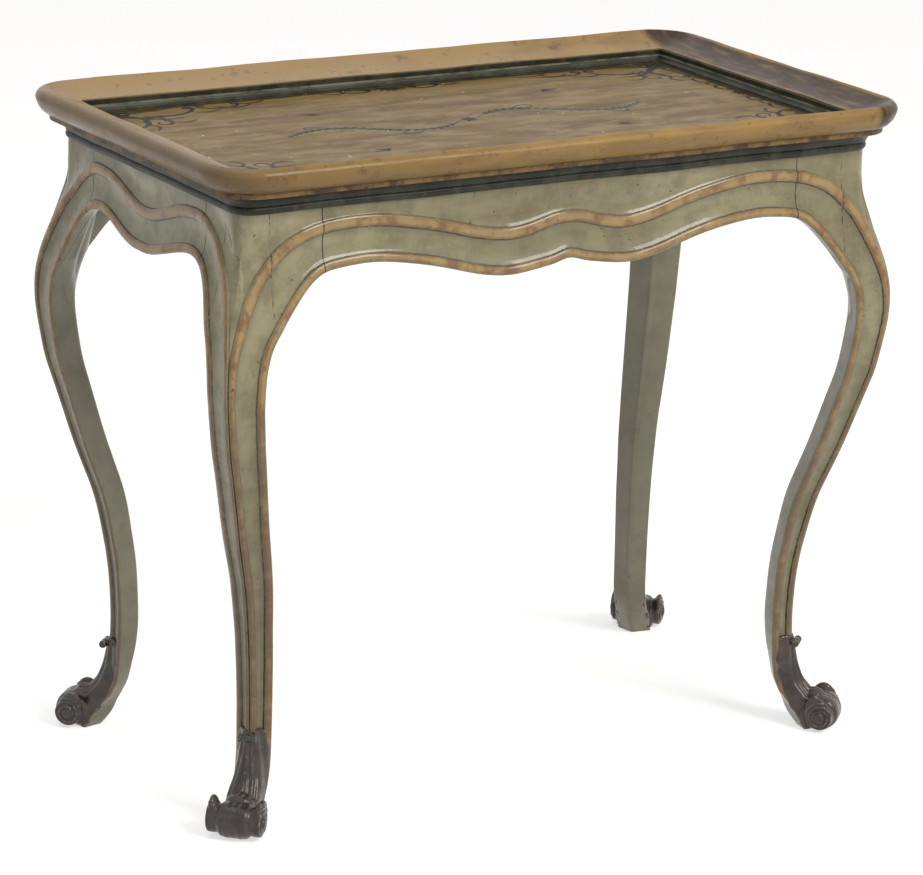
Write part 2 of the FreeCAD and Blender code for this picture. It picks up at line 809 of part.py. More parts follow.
def main():
    """Builds every piece and writes its file."""
    os.makedirs("parts", exist_ok=True)
    pieces = top_pieces()
    pieces.update(frame_pieces())
    for name, shape in sorted(pieces.items()):
        solids = shape.Solids
        print(name, len(solids), "valid" if shape.isValid() else "INVALID", round(shape.Volume))
        solid = solids[0] if len(solids) == 1 else shape
        solid.exportStep("parts/" + name + ".step")


main()
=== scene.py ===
"""Looks of a painted centre table: tray top, serpentine aprons, cabriole legs and carved scroll toes.

Lengths are metres in the model's own frame: +X along the length, +Y to the back, +Z up from the floor.
A side is drawn as the right-hand one: x is minus the inset from the rim's outermost line and y runs
along the side. A corner is drawn at the back right, with both insets counted from the rim.
"""

import logging
import math
from dataclasses import dataclass
from enum import Enum
from functools import partial
from typing import Callable, Dict, List, Sequence, Tuple

import bmesh
import bpy
import numpy as np
from mathutils import Matrix, Vector


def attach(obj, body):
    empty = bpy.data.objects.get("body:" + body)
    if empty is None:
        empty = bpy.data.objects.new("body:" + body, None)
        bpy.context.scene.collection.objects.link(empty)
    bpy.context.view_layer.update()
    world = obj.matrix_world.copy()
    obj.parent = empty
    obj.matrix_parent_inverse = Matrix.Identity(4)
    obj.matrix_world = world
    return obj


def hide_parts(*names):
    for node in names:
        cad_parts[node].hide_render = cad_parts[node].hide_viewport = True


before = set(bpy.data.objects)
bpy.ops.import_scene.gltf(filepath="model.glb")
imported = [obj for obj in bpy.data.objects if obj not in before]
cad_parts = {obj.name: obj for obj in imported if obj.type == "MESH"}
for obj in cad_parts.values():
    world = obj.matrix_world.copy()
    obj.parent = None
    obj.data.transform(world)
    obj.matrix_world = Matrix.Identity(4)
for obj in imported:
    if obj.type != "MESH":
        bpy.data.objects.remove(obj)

log = logging.getLogger("centre_table")

MM = 0.001
# Height of the rim's seat on the boards, and of the frame's top edge under them.
SEAT_HEIGHT = 0.692
FRAME_HEIGHT = 0.672
# Half of the rim's length and width.
HALF_LENGTH = 0.420
HALF_WIDTH = 0.240
# Inset of the inner faces of the leg's post, where the brackets end, and depth that the apron's curves share.
POST_INSET = 0.070
APRON_DEPTH = 0.096
# Numbers on the frame's points: millimetres from the nearest bead, weight of the painted shade beside it, and
# 1 on bare wood.
CARVED_MARKS = ("bead_gap", "line_weight", "bare_wood")
PLAIN_MARKS = np.array([60.0, 0.3, 0.0])
BARE_MARKS = np.array([60.0, 0.3, 1.0])
# Waves of the handwork in x, y and z: strength, radians a metre along each axis, and phase.
HAND_WAVES = (
    ((1.0, 23, 31, 11, 1.3), (0.6, -47, 17, 37, 4.1), (0.3, 91, 71, 0, 0.0)),
    ((1.0, 19, -29, 13, 0.4), (0.6, 43, 37, -31, 2.7), (0.3, 83, -67, 0, 0.0)),
    ((1.0, 27, 21, -17, 5.2), (0.6, -39, 53, 29, 1.1), (0.3, 79, 89, 0, 0.0)),
)
HAND_SHIFT = 0.00030
ROOT_TWO = math.sqrt(2.0)
# Points closer than this become one.
MERGE_DISTANCE = 2e-5

Array = np.ndarray
Mesh, Object, Material, Modifier = bpy.types.Mesh, bpy.types.Object, bpy.types.Material, bpy.types.Modifier
Tree, Socket = bpy.types.NodeTree, bpy.types.NodeSocket
Pair = Tuple[float, float]
Triple = Tuple[float, float, float]
Colour = Triple
Placing = Callable[[Array], Array]
Stroke = Tuple[Array, Array]


class Side(Enum):
    """The four sides, by the quarter turns that bring the right-hand side there."""

    RIGHT = 0
    BACK = 1
    LEFT = 2
    FRONT = 3

    @property
    def reach(self) -> float:
        """Distance from the middle to this side's outermost line."""
        return HALF_LENGTH if self in (Side.RIGHT, Side.LEFT) else HALF_WIDTH

    @property
    def half_side(self) -> float:
        """Half of this side's own length."""
        return HALF_WIDTH if self in (Side.RIGHT, Side.LEFT) else HALF_LENGTH

    @property
    def ends(self) -> Tuple[str, str]:
        """Names of the far end and the near end of this side."""
        return {
            Side.RIGHT: ("back", "front"),
            Side.BACK: ("left", "right"),
            Side.LEFT: ("front", "back"),
            Side.FRONT: ("right", "left"),
        }[self]

    def place(self, points: Array) -> Array:
        """Brings points drawn on the right-hand side to this side.

        Args:
            points: Array whose last axis is x, y, z.

        Returns:
            The points in the table's frame.
        """
        moved = points + np.array([self.reach, 0.0, 0.0])
        cos, sin = ((1, 0), (0, 1), (-1, 0), (0, -1))[self.value]
        x = moved[..., 0] * cos - moved[..., 1] * sin
        y = moved[..., 0] * sin + moved[..., 1] * cos
        return np.stack([x, y, moved[..., 2]], axis=-1)


class Corner(Enum):
    """The four corners, by the signs of their x and y."""

    BACK_RIGHT = (1, 1)
    BACK_LEFT = (-1, 1)
    FRONT_RIGHT = (1, -1)
    FRONT_LEFT = (-1, -1)

    @property
    def label(self) -> str:
        """Name of the corner in node names."""
        return self.name.lower()

    def place(self, points: Array) -> Array:
        """Brings points drawn at the back right corner to this corner."""
        moved = points + np.array([HALF_LENGTH, HALF_WIDTH, 0.0])
        return moved * np.array([self.value[0], self.value[1], 1.0])


# Leg stations: height share, sweep share, face width share, back depth share.
LEG_SHARES = (
    (0.0, 0.475, 0.474, 0.404), (0.021, 0.379, 0.470, 0.432), (0.042, 0.268, 0.468, 0.391),
    (0.060, 0.156, 0.467, 0.340), (0.074, 0.092, 0.467, 0.326), (0.092, 0.045, 0.467, 0.325),
    (0.119, 0.019, 0.468, 0.346), (0.149, 0.010, 0.470, 0.386), (0.184, 0.000, 0.472, 0.402),
    (0.223, 0.006, 0.481, 0.404), (0.277, 0.038, 0.502, 0.416), (0.330, 0.108, 0.526, 0.433),
    (0.384, 0.201, 0.558, 0.454), (0.438, 0.344, 0.593, 0.477), (0.491, 0.505, 0.630, 0.496),
    (0.545, 0.650, 0.662, 0.514), (0.598, 0.790, 0.690, 0.532), (0.632, 0.872, 0.706, 0.544),
    (0.667, 0.928, 0.722, 0.556), (0.701, 0.975, 0.740, 0.570), (0.735, 0.998, 0.772, 0.576),
    (0.762, 0.990, 0.808, 0.564), (0.782, 0.968, 0.880, 0.550), (0.799, 0.942, 0.940, 0.540),
    (0.818, 0.905, 0.915, 0.540), (0.836, 0.864, 0.865, 0.540), (0.856, 0.815, 0.800, 0.540),
    (0.875, 0.772, 0.750, 0.540), (0.893, 0.730, 0.690, 0.540), (0.911, 0.688, 0.625, 0.540),
    (0.932, 0.655, 0.570, 0.540), (0.955, 0.642, 0.560, 0.540), (0.978, 0.640, 0.575, 0.540),
    (1.0, 0.640, 0.600, 0.540),
)
# Lower edge and upper bead of a long and a short side: share of the post's place, share of the apron's depth.
LONG_EDGE = (
    (0.0, 0.885), (0.045, 0.920), (0.103, 0.958), (0.157, 0.984), (0.205, 0.994), (0.257, 0.980),
    (0.320, 0.938), (0.386, 0.875), (0.460, 0.806), (0.543, 0.745), (0.617, 0.706), (0.686, 0.690),
    (0.757, 0.705), (0.800, 0.725), (0.832, 0.758), (0.866, 0.833), (0.900, 0.948), (0.931, 1.078),
    (0.960, 1.208), (0.983, 1.323), (1.0, 1.406),
)
SHORT_EDGE = (
    (0.0, 0.896), (0.100, 0.890), (0.200, 0.860), (0.310, 0.810), (0.420, 0.753), (0.520, 0.709),
    (0.618, 0.690), (0.694, 0.708), (0.753, 0.750), (0.812, 0.833), (0.865, 0.958), (0.912, 1.104),
    (0.947, 1.229), (0.976, 1.333), (1.0, 1.406),
)
LONG_CREST = (
    (0.0, 0.440), (0.045, 0.450), (0.100, 0.498), (0.157, 0.540), (0.205, 0.552), (0.260, 0.531),
    (0.329, 0.479), (0.400, 0.411), (0.471, 0.349), (0.543, 0.297), (0.614, 0.256), (0.686, 0.240),
    (0.760, 0.245), (0.837, 0.281), (0.900, 0.349), (0.951, 0.443), (1.0, 0.589),
)
SHORT_CREST = (
    (0.0, 0.479), (0.118, 0.461), (0.206, 0.417), (0.294, 0.370), (0.382, 0.318), (0.471, 0.276),
    (0.559, 0.250), (0.647, 0.240), (0.735, 0.255), (0.824, 0.318), (0.900, 0.410), (1.0, 0.589),
)
# The upper bead over the post: shares of the leg's stock and of the apron's depth.
HEAD_CREST = (
    (0.105, 0.658), (0.228, 0.735), (0.350, 0.839), (0.460, 0.948), (0.560, 1.068), (0.665, 1.208),
)


def smoothstep(low: float, high: float, value: Array) -> Array:
    """Eases from 0 at low to 1 at high."""
    t = np.clip((np.asarray(value, float) - low) / (high - low), 0.0, 1.0)
    return t * t * (3.0 - 2.0 * t)


class SmoothLine:
    """A natural cubic through points, spaced by the straight distances between them."""

    def __init__(self, points: Sequence[Sequence[float]], samples: int = 1600) -> None:
        """Fits the line and samples it.

        Args:
            points: Points that the line passes through.
            samples: How many places are worked out along it.
        """
        known = np.array(points, float)
        steps = np.linalg.norm(np.diff(known, axis=0), axis=1)
        knots = np.concatenate([[0.0], np.cumsum(steps)])
        count = len(known)
        system = np.eye(count)
        right = np.zeros_like(known)
        for i in range(1, count - 1):
            before, after = knots[i] - knots[i - 1], knots[i + 1] - knots[i]
            system[i, i - 1 : i + 2] = (before / 6, (before + after) / 3, after / 6)
            right[i] = (known[i + 1] - known[i]) / after - (known[i] - known[i - 1]) / before
        bend = np.linalg.solve(system, right)
        place = np.linspace(0.0, knots[-1], samples)
        low = np.clip(np.searchsorted(knots, place, side="right") - 1, 0, count - 2)
        width = knots[low + 1] - knots[low]
        b = (place - knots[low]) / width
        a = 1.0 - b
        bowed = (a**3 - a)[:, None] * bend[low] + (b**3 - b)[:, None] * bend[low + 1]
        self.points = a[:, None] * known[low] + b[:, None] * known[low + 1]
        self.points += bowed * (width**2 / 6)[:, None]

    def at(self, axis: int, values: Array) -> Array:
        """Finds the points where one coordinate has these values.

        Args:
            axis: Which coordinate is given. It rises or falls steadily along the line.
            values: The coordinate's values.

        Returns:
            One point for each value.
        """
        part = self.points
        if part[-1, axis] < part[0, axis]:
            part = part[::-1]
        return np.stack([np.interp(values, part[:, axis], column) for column in part.T], axis=-1)


@dataclass(frozen=True)
class LegForm:
    """The curves that the legs, brackets and aprons share, by height."""

    ankle_inset: float = 0.0758
    sweep: float = 0.0628
    stock: float = 0.057
    arris_radius: float = 0.0025
    head_radius: float = 0.018
    rounding_start: float = 0.502
    rounding_end: float = FRAME_HEIGHT - 0.02
    slope_step: float = 0.0025

    def _column(self, column: int, z: Array) -> Array:
        """Reads one column of the leg stations at these heights."""
        line = SmoothLine([(row[column], row[0] * FRAME_HEIGHT) for row in LEG_SHARES])
        return line.at(1, np.asarray(z, float))[..., 0]

    def inset(self, z: Array) -> Array:
        """Inset of the outer faces from the rim's outermost line."""
        return self.ankle_inset - self.sweep * self._column(1, z)

    def slope(self, z: Array) -> Array:
        """How fast the inset grows with height."""
        z, step = np.asarray(z), self.slope_step
        return (self.inset(z + step) - self.inset(z - step)) / (2 * step)

    def face(self, z: Array) -> Array:
        """Width of the leg's outer faces."""
        return self.stock * self._column(2, z)

    def back(self, z: Array) -> Array:
        """Depth of the leg's back arris."""
        return self.stock * self._column(3, z)

    def rounding(self, z: Array) -> Array:
        """Radius of the outer arris: sharp on the shaft and broad at the head."""
        share = smoothstep(self.rounding_start, self.rounding_end, z)
        return self.arris_radius + (self.head_radius - self.arris_radius) * share

    def wrap(self, half_side: float, y: Array, z: Array, lift: Array) -> Array:
        """Lays places of a side's drawing on its rounded and bulged face.

        Args:
            half_side: Half of the side's length.
            y: Places along the side.
            z: Heights.
            lift: How far each point stands off the face.

        Returns:
            Points drawn on the right-hand side.
        """
        inset, slope, radius = self.inset(z), self.slope(z), self.rounding(z)
        away = half_side - inset - np.abs(y)
        turn = np.clip(1.0 - away / radius, 0.0, 1.0) * (math.pi / 4)
        bent = turn > 0
        cos, sin = np.cos(turn), np.sin(turn)
        x = np.where(bent, -inset - radius + radius * cos, -inset)
        across = np.where(bent, half_side - inset - radius + radius * sin, np.abs(y))
        rise = slope * (cos + sin)
        size = np.sqrt(1.0 + rise**2)
        x = x + lift * cos / size
        across = across + lift * sin / size
        return np.stack([x, np.sign(y) * across, z + lift * rise / size], axis=-1)


@dataclass(frozen=True)
class BeadForm:
    """Sizes of the carved beads and of the hollows between them."""

    height: float = 0.0030
    crest_width: float = 0.013
    arris_width: float = 0.0076
    edge_width: float = 0.010
    groove: float = 0.0006
    band_hollow: float = 0.0020
    edge_share: float = 0.86
    scoop: float = 0.0026
    scoop_place: float = 0.012
    scoop_width: float = 0.011
    scoop_room: Pair = (0.004, 0.030)
    arris_gap: float = 0.0006
    taper_top: float = 0.576
    taper_foot: float = 0.490
    groove_width: float = 0.0008
    band_steps: Tuple[float, ...] = (0.05, 0.12, 0.24, 0.38, 0.5, 0.62, 0.76, 0.88, 0.95)

    def crest_width_at(self, z: Array) -> Array:
        """Width of the upper bead, which narrows as it turns down the leg."""
        share = np.clip((np.asarray(z) - self.taper_foot) / (self.taper_top - self.taper_foot), 0, 1)
        return self.arris_width + (self.crest_width - self.arris_width) * share


def unit_heading(path: Array) -> Array:
    """Gives the unit direction of a path at each of its points."""
    heading = np.gradient(path, axis=0)
    return heading / np.linalg.norm(heading, axis=1, keepdims=True)


def left_of(path: Array) -> Array:
    """Gives the unit direction to the left of a flat path's heading at each of its points."""
    heading = unit_heading(path)
    return np.stack([-heading[:, 1], heading[:, 0]], axis=-1)


def by_length(path: Array, count: int) -> Array:
    """Spaces a number of points evenly along a path.

    Args:
        path: The path's points.
        count: How many points are wanted.

    Returns:
        The evenly spaced points.
    """
    steps = np.concatenate([[0.0], np.cumsum(np.linalg.norm(np.diff(path, axis=0), axis=1))])
    wanted = np.linspace(0.0, steps[-1], count)
    return np.stack([np.interp(wanted, steps, column) for column in path.T], axis=-1)


class CarvedSide:
    """One side's carved drawing, from its middle over the bracket and down to the foot.

    Rows run from the lower edge over the edge bead, the band and the upper bead to the outer border.
    """

    panel_step = 0.0026
    fan_count = 64
    fan_foot = 0.455
    leg_step = 0.0030
    low_line_top = 0.525
    top_line_top = 0.527
    outer_rows = 20

    def __init__(
        self, half_side: float, edge: Sequence[Pair], crest: Sequence[Pair], leg: LegForm, bead: BeadForm
    ) -> None:
        """Works out the drawing.

        Args:
            half_side: Half of the side's length.
            edge: Lower edge in shares of the post's place and of the apron's depth.
            crest: The upper bead's middle line in the same shares.
            leg: Curves of the leg.
            bead: Sizes of the beads.
        """
        self.half_side = half_side
        self.leg = leg
        self.bead = bead
        self.post = half_side - POST_INSET
        stations = np.array([row[0] * FRAME_HEIGHT for row in reversed(LEG_SHARES)])
        heights = stations[stations < self.low_line_top]
        arris = half_side - leg.inset(heights)
        low = [(y * self.post, FRAME_HEIGHT - z * APRON_DEPTH) for y, z in edge]
        low += list(zip(arris - leg.face(heights), heights))
        top = [(y * self.post, FRAME_HEIGHT - z * APRON_DEPTH) for y, z in crest]
        top += [(self.post + y * leg.stock, FRAME_HEIGHT - z * APRON_DEPTH) for y, z in HEAD_CREST]
        beside = bead.crest_width_at(heights) / 2 + bead.arris_gap
        top += [(y, z) for y, z in zip(arris - beside, heights) if z < self.top_line_top]
        self.low_line = SmoothLine(self._whole(low), 4000)
        self.top_line = SmoothLine(self._whole(top), 4000)
        self.panel_count = int(self.post / self.panel_step) + 1
        self.leg_count = int(self.fan_foot / self.leg_step)
        self.rim = self._border()
        self._rows()

    @staticmethod
    def _whole(points: List[Pair]) -> List[Pair]:
        """Adds the mirror image of a half line that starts in the middle."""
        return [(-y, z) for y, z in reversed(points[1:])] + points

    def _border(self) -> Array:
        """Sets the stations of the outer border: along the top edge, then down the arris.

        Returns:
            Place along the side and height of each station.
        """
        y = np.linspace(0.0, self.post, self.panel_count)
        corner = self.half_side - float(self.leg.inset(np.array([FRAME_HEIGHT]))[0])
        share = (corner - self.post) / (corner - self.post + FRAME_HEIGHT - self.fan_foot)
        along = max(4, round(self.fan_count * share))
        y = np.concatenate([y, np.linspace(self.post, corner, along)[1:]])
        z = np.linspace(FRAME_HEIGHT, self.fan_foot, self.fan_count - along + 1)[1:]
        z = np.concatenate([z, np.linspace(self.fan_foot, 0.0, self.leg_count)[1:]])
        top = np.stack([y, np.full_like(y, FRAME_HEIGHT)], axis=-1)
        return np.concatenate([top, np.stack([self.half_side - self.leg.inset(z), z], axis=-1)])

    def _beside(self, line: SmoothLine, distance: Placing) -> Array:
        """Runs a row beside a line and reads it at every station.

        Stations are even along the apron and bracket, by length round the knee and by height down the leg.

        Args:
            line: The line, over the whole side.
            distance: Gives the row's distance to the left of the line at some heights.

        Returns:
            The row's place at each station.
        """
        path = line.points[len(line.points) // 2 - 1 :]
        path = path + left_of(path) * distance(path[:, 1])[:, None]
        turn = int(np.argmax(path[:, 0] > self.post))
        foot = int(np.argmax(path[:, 1] < self.fan_foot))
        y = np.linspace(0.0, self.post, self.panel_count)
        z = np.linspace(self.fan_foot, 0.0, self.leg_count)
        panel = np.stack([y, np.interp(y, path[: turn + 1, 0], path[: turn + 1, 1])], axis=-1)
        leg = np.stack([np.interp(-z, -path[foot - 1 :, 1], path[foot - 1 :, 0]), z], axis=-1)
        knee = by_length(np.concatenate([panel[-1:], path[turn:foot], leg[:1]]), self.fan_count)
        return np.concatenate([panel, knee[1:-1], leg])

    @staticmethod
    def _clear(path: Array, across: Array) -> Array:
        """How far the ends of slanted steps across a path stand off it."""
        return np.abs((left_of(path) * across).sum(axis=1))

    def _rows(self) -> None:
        """Spreads the rows over the beads and between them, with their lifts and their marks.

        The marks are the distance from the nearest bead in millimetres, below zero on it, and the weight
        of the painted shade that lies beside it.
        """
        bead = self.bead
        bed = np.sin(np.linspace(-math.pi / 2, math.pi / 2, 13))
        upper = [self._beside(self.top_line, lambda z, k=k: bead.crest_width_at(z) * k / 2) for k in bed]
        width = bead.crest_width_at(upper[len(bed) // 2][:, 1])
        rows, lifts, gaps, bead_edge_shade = [], [], [], []
        whole = np.ones(len(self.rim))
        for k in bed:
            aside = bead.edge_width * (1 + k) / 2
            rows.append(self._beside(self.low_line, lambda z, aside=aside: np.full_like(z, aside)))
            lifts.append(bead.edge_share * bead.height * math.sqrt(max(0.0, 1 - k * k)) * whole)
            gaps.append(-(1 - abs(k)) * bead.edge_width / 2 / MM * whole)
            bead_edge_shade.append((0.75 if k > 0 else 0.3) * whole)
        start, first = rows[-1], upper[0]
        from_low, from_top = self._clear(start, first - start), self._clear(first, first - start)
        for t in bead.band_steps:
            rows.append(start + (first - start) * t)
            near = np.minimum(t * from_low, (1 - t) * from_top)
            hollow = np.minimum(bead.band_hollow, 0.2 * from_low) * math.sin(math.pi * t) ** 0.8
            lifts.append(-hollow - bead.groove * np.exp(-((near / bead.groove_width) ** 2)))
            gaps.append(near / MM)
            bead_edge_shade.append((0.75 + 0.25 * t) * whole)
        for k, row in zip(bed, upper):
            rows.append(row)
            height = (width / bead.crest_width) ** 0.5 * bead.height
            lifts.append(height * math.sqrt(max(0.0, 1 - k * k)))
            gaps.append(-(1 - abs(k)) * width / 2 / MM)
            bead_edge_shade.append((0.65 - 0.35 * k) * whole)
        start = rows[-1]
        room = self._clear(start, self.rim - start)
        for t in 1 - (1 - np.linspace(0.0, 1.0, self.outer_rows + 1)[1:]) ** 1.25:
            rows.append(start + (self.rim - start) * t)
            away = t * room
            off_scoop = (away - bead.scoop_place) / bead.scoop_width
            scoop = bead.scoop * smoothstep(*bead.scoop_room, room) * np.exp(-(off_scoop**2))
            groove = bead.groove * np.exp(-((away / bead.groove_width) ** 2))
            lifts.append(-scoop - groove * (1 - t))
            gaps.append(away / MM)
            bead_edge_shade.append(0.3 * whole)
        rows[-1] = self.rim.copy()
        self.places = np.stack(rows, axis=1)
        self.lifts = np.stack(lifts, axis=1)
        self.lifts[:, -1] = 0.0
        marks = [np.stack(gaps, axis=1), np.stack(bead_edge_shade, axis=1), np.zeros_like(self.lifts)]
        self.marks = np.stack(marks, axis=-1)

    def sheet(self, first: int, last: int) -> Tuple[Array, Array]:
        """Lays a stretch of the drawing on the side's face.

        Args:
            first: First station.
            last: Station after the last one.

        Returns:
            The points, station by row, and each point's marks.
        """
        part = self.places[first:last]
        points = self.leg.wrap(self.half_side, part[..., 0], part[..., 1], self.lifts[first:last])
        return points, self.marks[first:last]


class MeshDraft:
    """Collects grids and polygons with some numbers per point, and makes a closed mesh of them."""

    def __init__(self, *names: str) -> None:
        """Starts empty.

        Args:
            names: What the numbers of each point are called in the materials.
        """
        self.names = names
        self.points: List[Array] = []
        self.marks: List[Array] = []
        self.faces: List[Tuple[int, ...]] = []
        self.count = 0

    def _add_points(self, points: Array, marks: Array) -> int:
        """Stores points.

        Args:
            points: Any array of points.
            marks: The numbers of each point.

        Returns:
            The index of the first.
        """
        first = self.count
        self.points.append(points.reshape(-1, 3))
        self.marks.append(marks.reshape(-1, len(self.names)))
        self.count += len(self.points[-1])
        return first

    def add_grid(self, points: Array, marks: Array, ring: bool = False) -> None:
        """Adds a grid of quads.

        Args:
            points: Stations by rows by x, y, z.
            marks: The numbers of each point, or one set for all.
            ring: Whether the last row meets the first.
        """
        stations, rows = points.shape[:2]
        first = self._add_points(points, np.broadcast_to(marks, (stations, rows, len(self.names))))
        index = first + np.arange(stations * rows).reshape(stations, rows)
        right = np.roll(index, -1, axis=1)
        span = rows if ring else rows - 1
        quads = np.stack([index[:-1, :span], right[:-1, :span], right[1:, :span], index[1:, :span]], axis=-1)
        self.faces.extend(map(tuple, quads.reshape(-1, 4).tolist()))

    def add_polygon(self, points: Array, marks: Array) -> None:
        """Adds one face with any number of corners."""
        first = self._add_points(points, np.broadcast_to(marks, (len(points), len(self.names))))
        self.faces.append(tuple(range(first, first + len(points))))

    def add_tube(self, points: Array, marks: Array, ends: Array) -> None:
        """Adds a grid of closed rings and a polygon at each end of it.

        Args:
            points: Stations by rows by x, y, z.
            marks: The numbers of each point, or one set for all.
            ends: The numbers of the end polygons' points.
        """
        self.add_grid(points, marks, ring=True)
        self.add_polygon(points[0], ends)
        self.add_polygon(points[-1], ends)

    def mesh(self, name: str) -> Mesh:
        """Makes the mesh.

        Args:
            name: Name of the mesh.

        Returns:
            The closed mesh with its numbers.
        """
        mesh = bpy.data.meshes.new(name)
        mesh.from_pydata(np.concatenate(self.points).tolist(), [], self.faces)
        marks = np.concatenate(self.marks)
        for index, label in enumerate(self.names):
            layer = mesh.attributes.new(label, "FLOAT", "POINT")
            layer.data.foreach_set("value", np.ascontiguousarray(marks[:, index], dtype=np.float32))
        work = bmesh.new()
        work.from_mesh(mesh)
        bmesh.ops.remove_doubles(work, verts=work.verts, dist=MERGE_DISTANCE)
        bmesh.ops.dissolve_degenerate(work, edges=work.edges, dist=1e-6)
        wide = [face for face in work.faces if len(face.verts) > 4]
        bmesh.ops.triangulate(work, faces=wide)
        bmesh.ops.recalc_face_normals(work, faces=work.faces)
        work.to_mesh(mesh)
        work.free()
        return mesh


def read_items(items: Sequence[object], field: str, width: int, kind: type = float) -> Array:
    """Reads one field of a mesh's points or edges.

    Args:
        items: The points, normals or edges.
        field: Name of the field.
        width: How many numbers each has.
        kind: Type of the numbers.

    Returns:
        One row for each item.
    """
    flat = np.empty(len(items) * width, dtype=kind)
    items.foreach_get(field, flat)
    return flat.reshape(-1, width)


def mesh_points(mesh: Mesh) -> Array:
    """Reads a mesh's points."""
    return read_items(mesh.vertices, "co", 3)


def set_points(mesh: Mesh, points: Array) -> None:
    """Moves a mesh's points to new places."""
    mesh.vertices.foreach_set("co", points.ravel())


def mesh_normals(mesh: Mesh) -> Array:
    """Reads the outward directions at a mesh's points."""
    return read_items(mesh.vertex_normals, "vector", 3)


def mesh_edges(mesh: Mesh) -> Array:
    """Reads the ends of a mesh's edges, as two rows of indices."""
    return read_items(mesh.edges, "vertices", 2, np.int32).T


def edge_counts(edges: Array, size: int) -> Array:
    """Counts the edges that meet at each of a number of points, as at least 1."""
    return np.maximum(np.bincount(edges[0], minlength=size) + np.bincount(edges[1], minlength=size), 1)


def soften(values: Array, edges: Array, rounds: int = 3) -> Array:
    """Draws each point's values half way to the mean of its neighbours, a few times.

    Args:
        values: One row for each point.
        edges: Two rows of indices.
        rounds: How many times.

    Returns:
        The softened values.
    """
    (one, two), size = edges, len(values)
    count = edge_counts(edges, size)[:, None]
    for _ in range(rounds):
        near = [np.bincount(one, row[two], size) + np.bincount(two, row[one], size) for row in values.T]
        values = 0.5 * values + 0.5 * np.stack(near, axis=-1) / count
    return values


def hand_warp(points: Array) -> Array:
    """Shifts points by the slow unevenness of handwork, which is the same wherever two pieces meet.

    Args:
        points: One row for each point.

    Returns:
        The shifted points, of which those on the floor keep their height.
    """
    x, y, z = points.T
    shift = np.stack([
        sum(share * np.sin(a * x + b * y + c * z + phase) for share, a, b, c, phase in waves)
        for waves in HAND_WAVES
    ], axis=-1) * HAND_SHIFT
    shift[:, 2] *= smoothstep(0.0, 0.03, z)
    return points + shift


def mark_relief(mesh: Mesh) -> None:
    """Stores how strongly the surface bends at each point: above zero on crests, below it in creases.

    Args:
        mesh: The mesh, which gets the attribute "relief".
    """
    points, normals, edges = mesh_points(mesh), mesh_normals(mesh), mesh_edges(mesh)
    (one, two), size = edges, len(points)
    step = points[two] - points[one]
    reach = np.maximum((step**2).sum(axis=1), 1e-10)
    total = np.bincount(one, -(step * normals[one]).sum(axis=1) / reach, size)
    total += np.bincount(two, (step * normals[two]).sum(axis=1) / reach, size)
    bend = np.clip(total / edge_counts(edges, size) * MM, -1.0, 1.0)
    bend = soften(bend[:, None], edges)[:, 0]
    layer = mesh.attributes.new("relief", "FLOAT", "POINT")
    layer.data.foreach_set("value", bend.astype(np.float32))


def add_object(name: str, data: bpy.types.ID) -> Object:
    """Makes an object of a mesh, a lamp or a camera and links it to the scene.

    Args:
        name: Name of the object.
        data: What it shows.

    Returns:
        The object, at the origin.
    """
    item = bpy.data.objects.new(name, data)
    bpy.context.scene.collection.objects.link(item)
    return item


def modified(mesh: Mesh, kind: str, setup: Callable[[Modifier], None]) -> Mesh:
    """Turns a mesh into the plain result of one modifier.

    Args:
        mesh: The mesh, which is removed.
        kind: The modifier's type.
        setup: Gives the modifier its settings.

    Returns:
        The new mesh.
    """
    holder = add_object("work_holder", mesh)
    modifier = holder.modifiers.new("work", kind)
    setup(modifier)
    bpy.context.view_layer.update()
    ready = holder.evaluated_get(bpy.context.evaluated_depsgraph_get())
    result = bpy.data.meshes.new_from_object(ready)
    holder.modifiers.remove(modifier)
    bpy.data.objects.remove(holder)
    bpy.data.meshes.remove(mesh)
    return result


def finish_mesh(mesh: Mesh, name: str, sharp_angle: float) -> Object:
    """Gives a mesh its unevenness, its relief marks and its shading, and links it as an object.

    Args:
        mesh: The closed mesh.
        name: Name of the mesh and of the object.
        sharp_angle: Edges sharper than this many degrees stay sharp.

    Returns:
        The object.
    """
    set_points(mesh, hand_warp(mesh_points(mesh)))
    mesh.update()
    mark_relief(mesh)
    mesh.shade_smooth()
    mesh.set_sharp_from_angle(angle=math.radians(sharp_angle))
    mesh.name = name
    return add_object(name, mesh)


def cut_mesh(mesh: Mesh, axis: int, low: float, high: float) -> None:
    """Keeps the part of a closed mesh between two planes and closes the cuts.

    Args:
        mesh: The mesh, cut in place.
        axis: 0 for planes across X and 1 for planes across Y.
        low: Place of the lower plane.
        high: Place of the upper plane.
    """
    work = bmesh.new()
    work.from_mesh(mesh)
    for place, sign in ((low, -1.0), (high, 1.0)):
        outward = Vector((0, 0, 0))
        outward[axis] = sign
        found = bmesh.ops.bisect_plane(
            work, geom=work.verts[:] + work.edges[:] + work.faces[:], plane_co=outward * (place * sign),
            plane_no=outward, clear_outer=True,
        )
        rim = [item for item in found["geom_cut"] if isinstance(item, bmesh.types.BMEdge)]
        bmesh.ops.triangle_fill(work, edges=rim, use_beauty=True)
    bmesh.ops.recalc_face_normals(work, faces=work.faces)
    work.to_mesh(mesh)
    work.free()


def dress(piece: Object, material: Material, slot: str, *nodes: str) -> Object:
    """Gives a piece its material and its body, and hides the model's nodes that it stands for.

    Args:
        piece: The finished piece.
        material: Its material.
        slot: Not used.
        nodes: The model's nodes that it replaces.

    Returns:
        The same piece.
    """
    piece.data.materials.clear()
    piece.data.materials.append(material)
    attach(piece, "root")
    if nodes:
        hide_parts(*nodes)
    count, stands_for = len(piece.data.polygons), ", ".join(nodes) or "itself"
    log.info("%s: %d faces, stands for %s", piece.name, count, stands_for)
    return piece


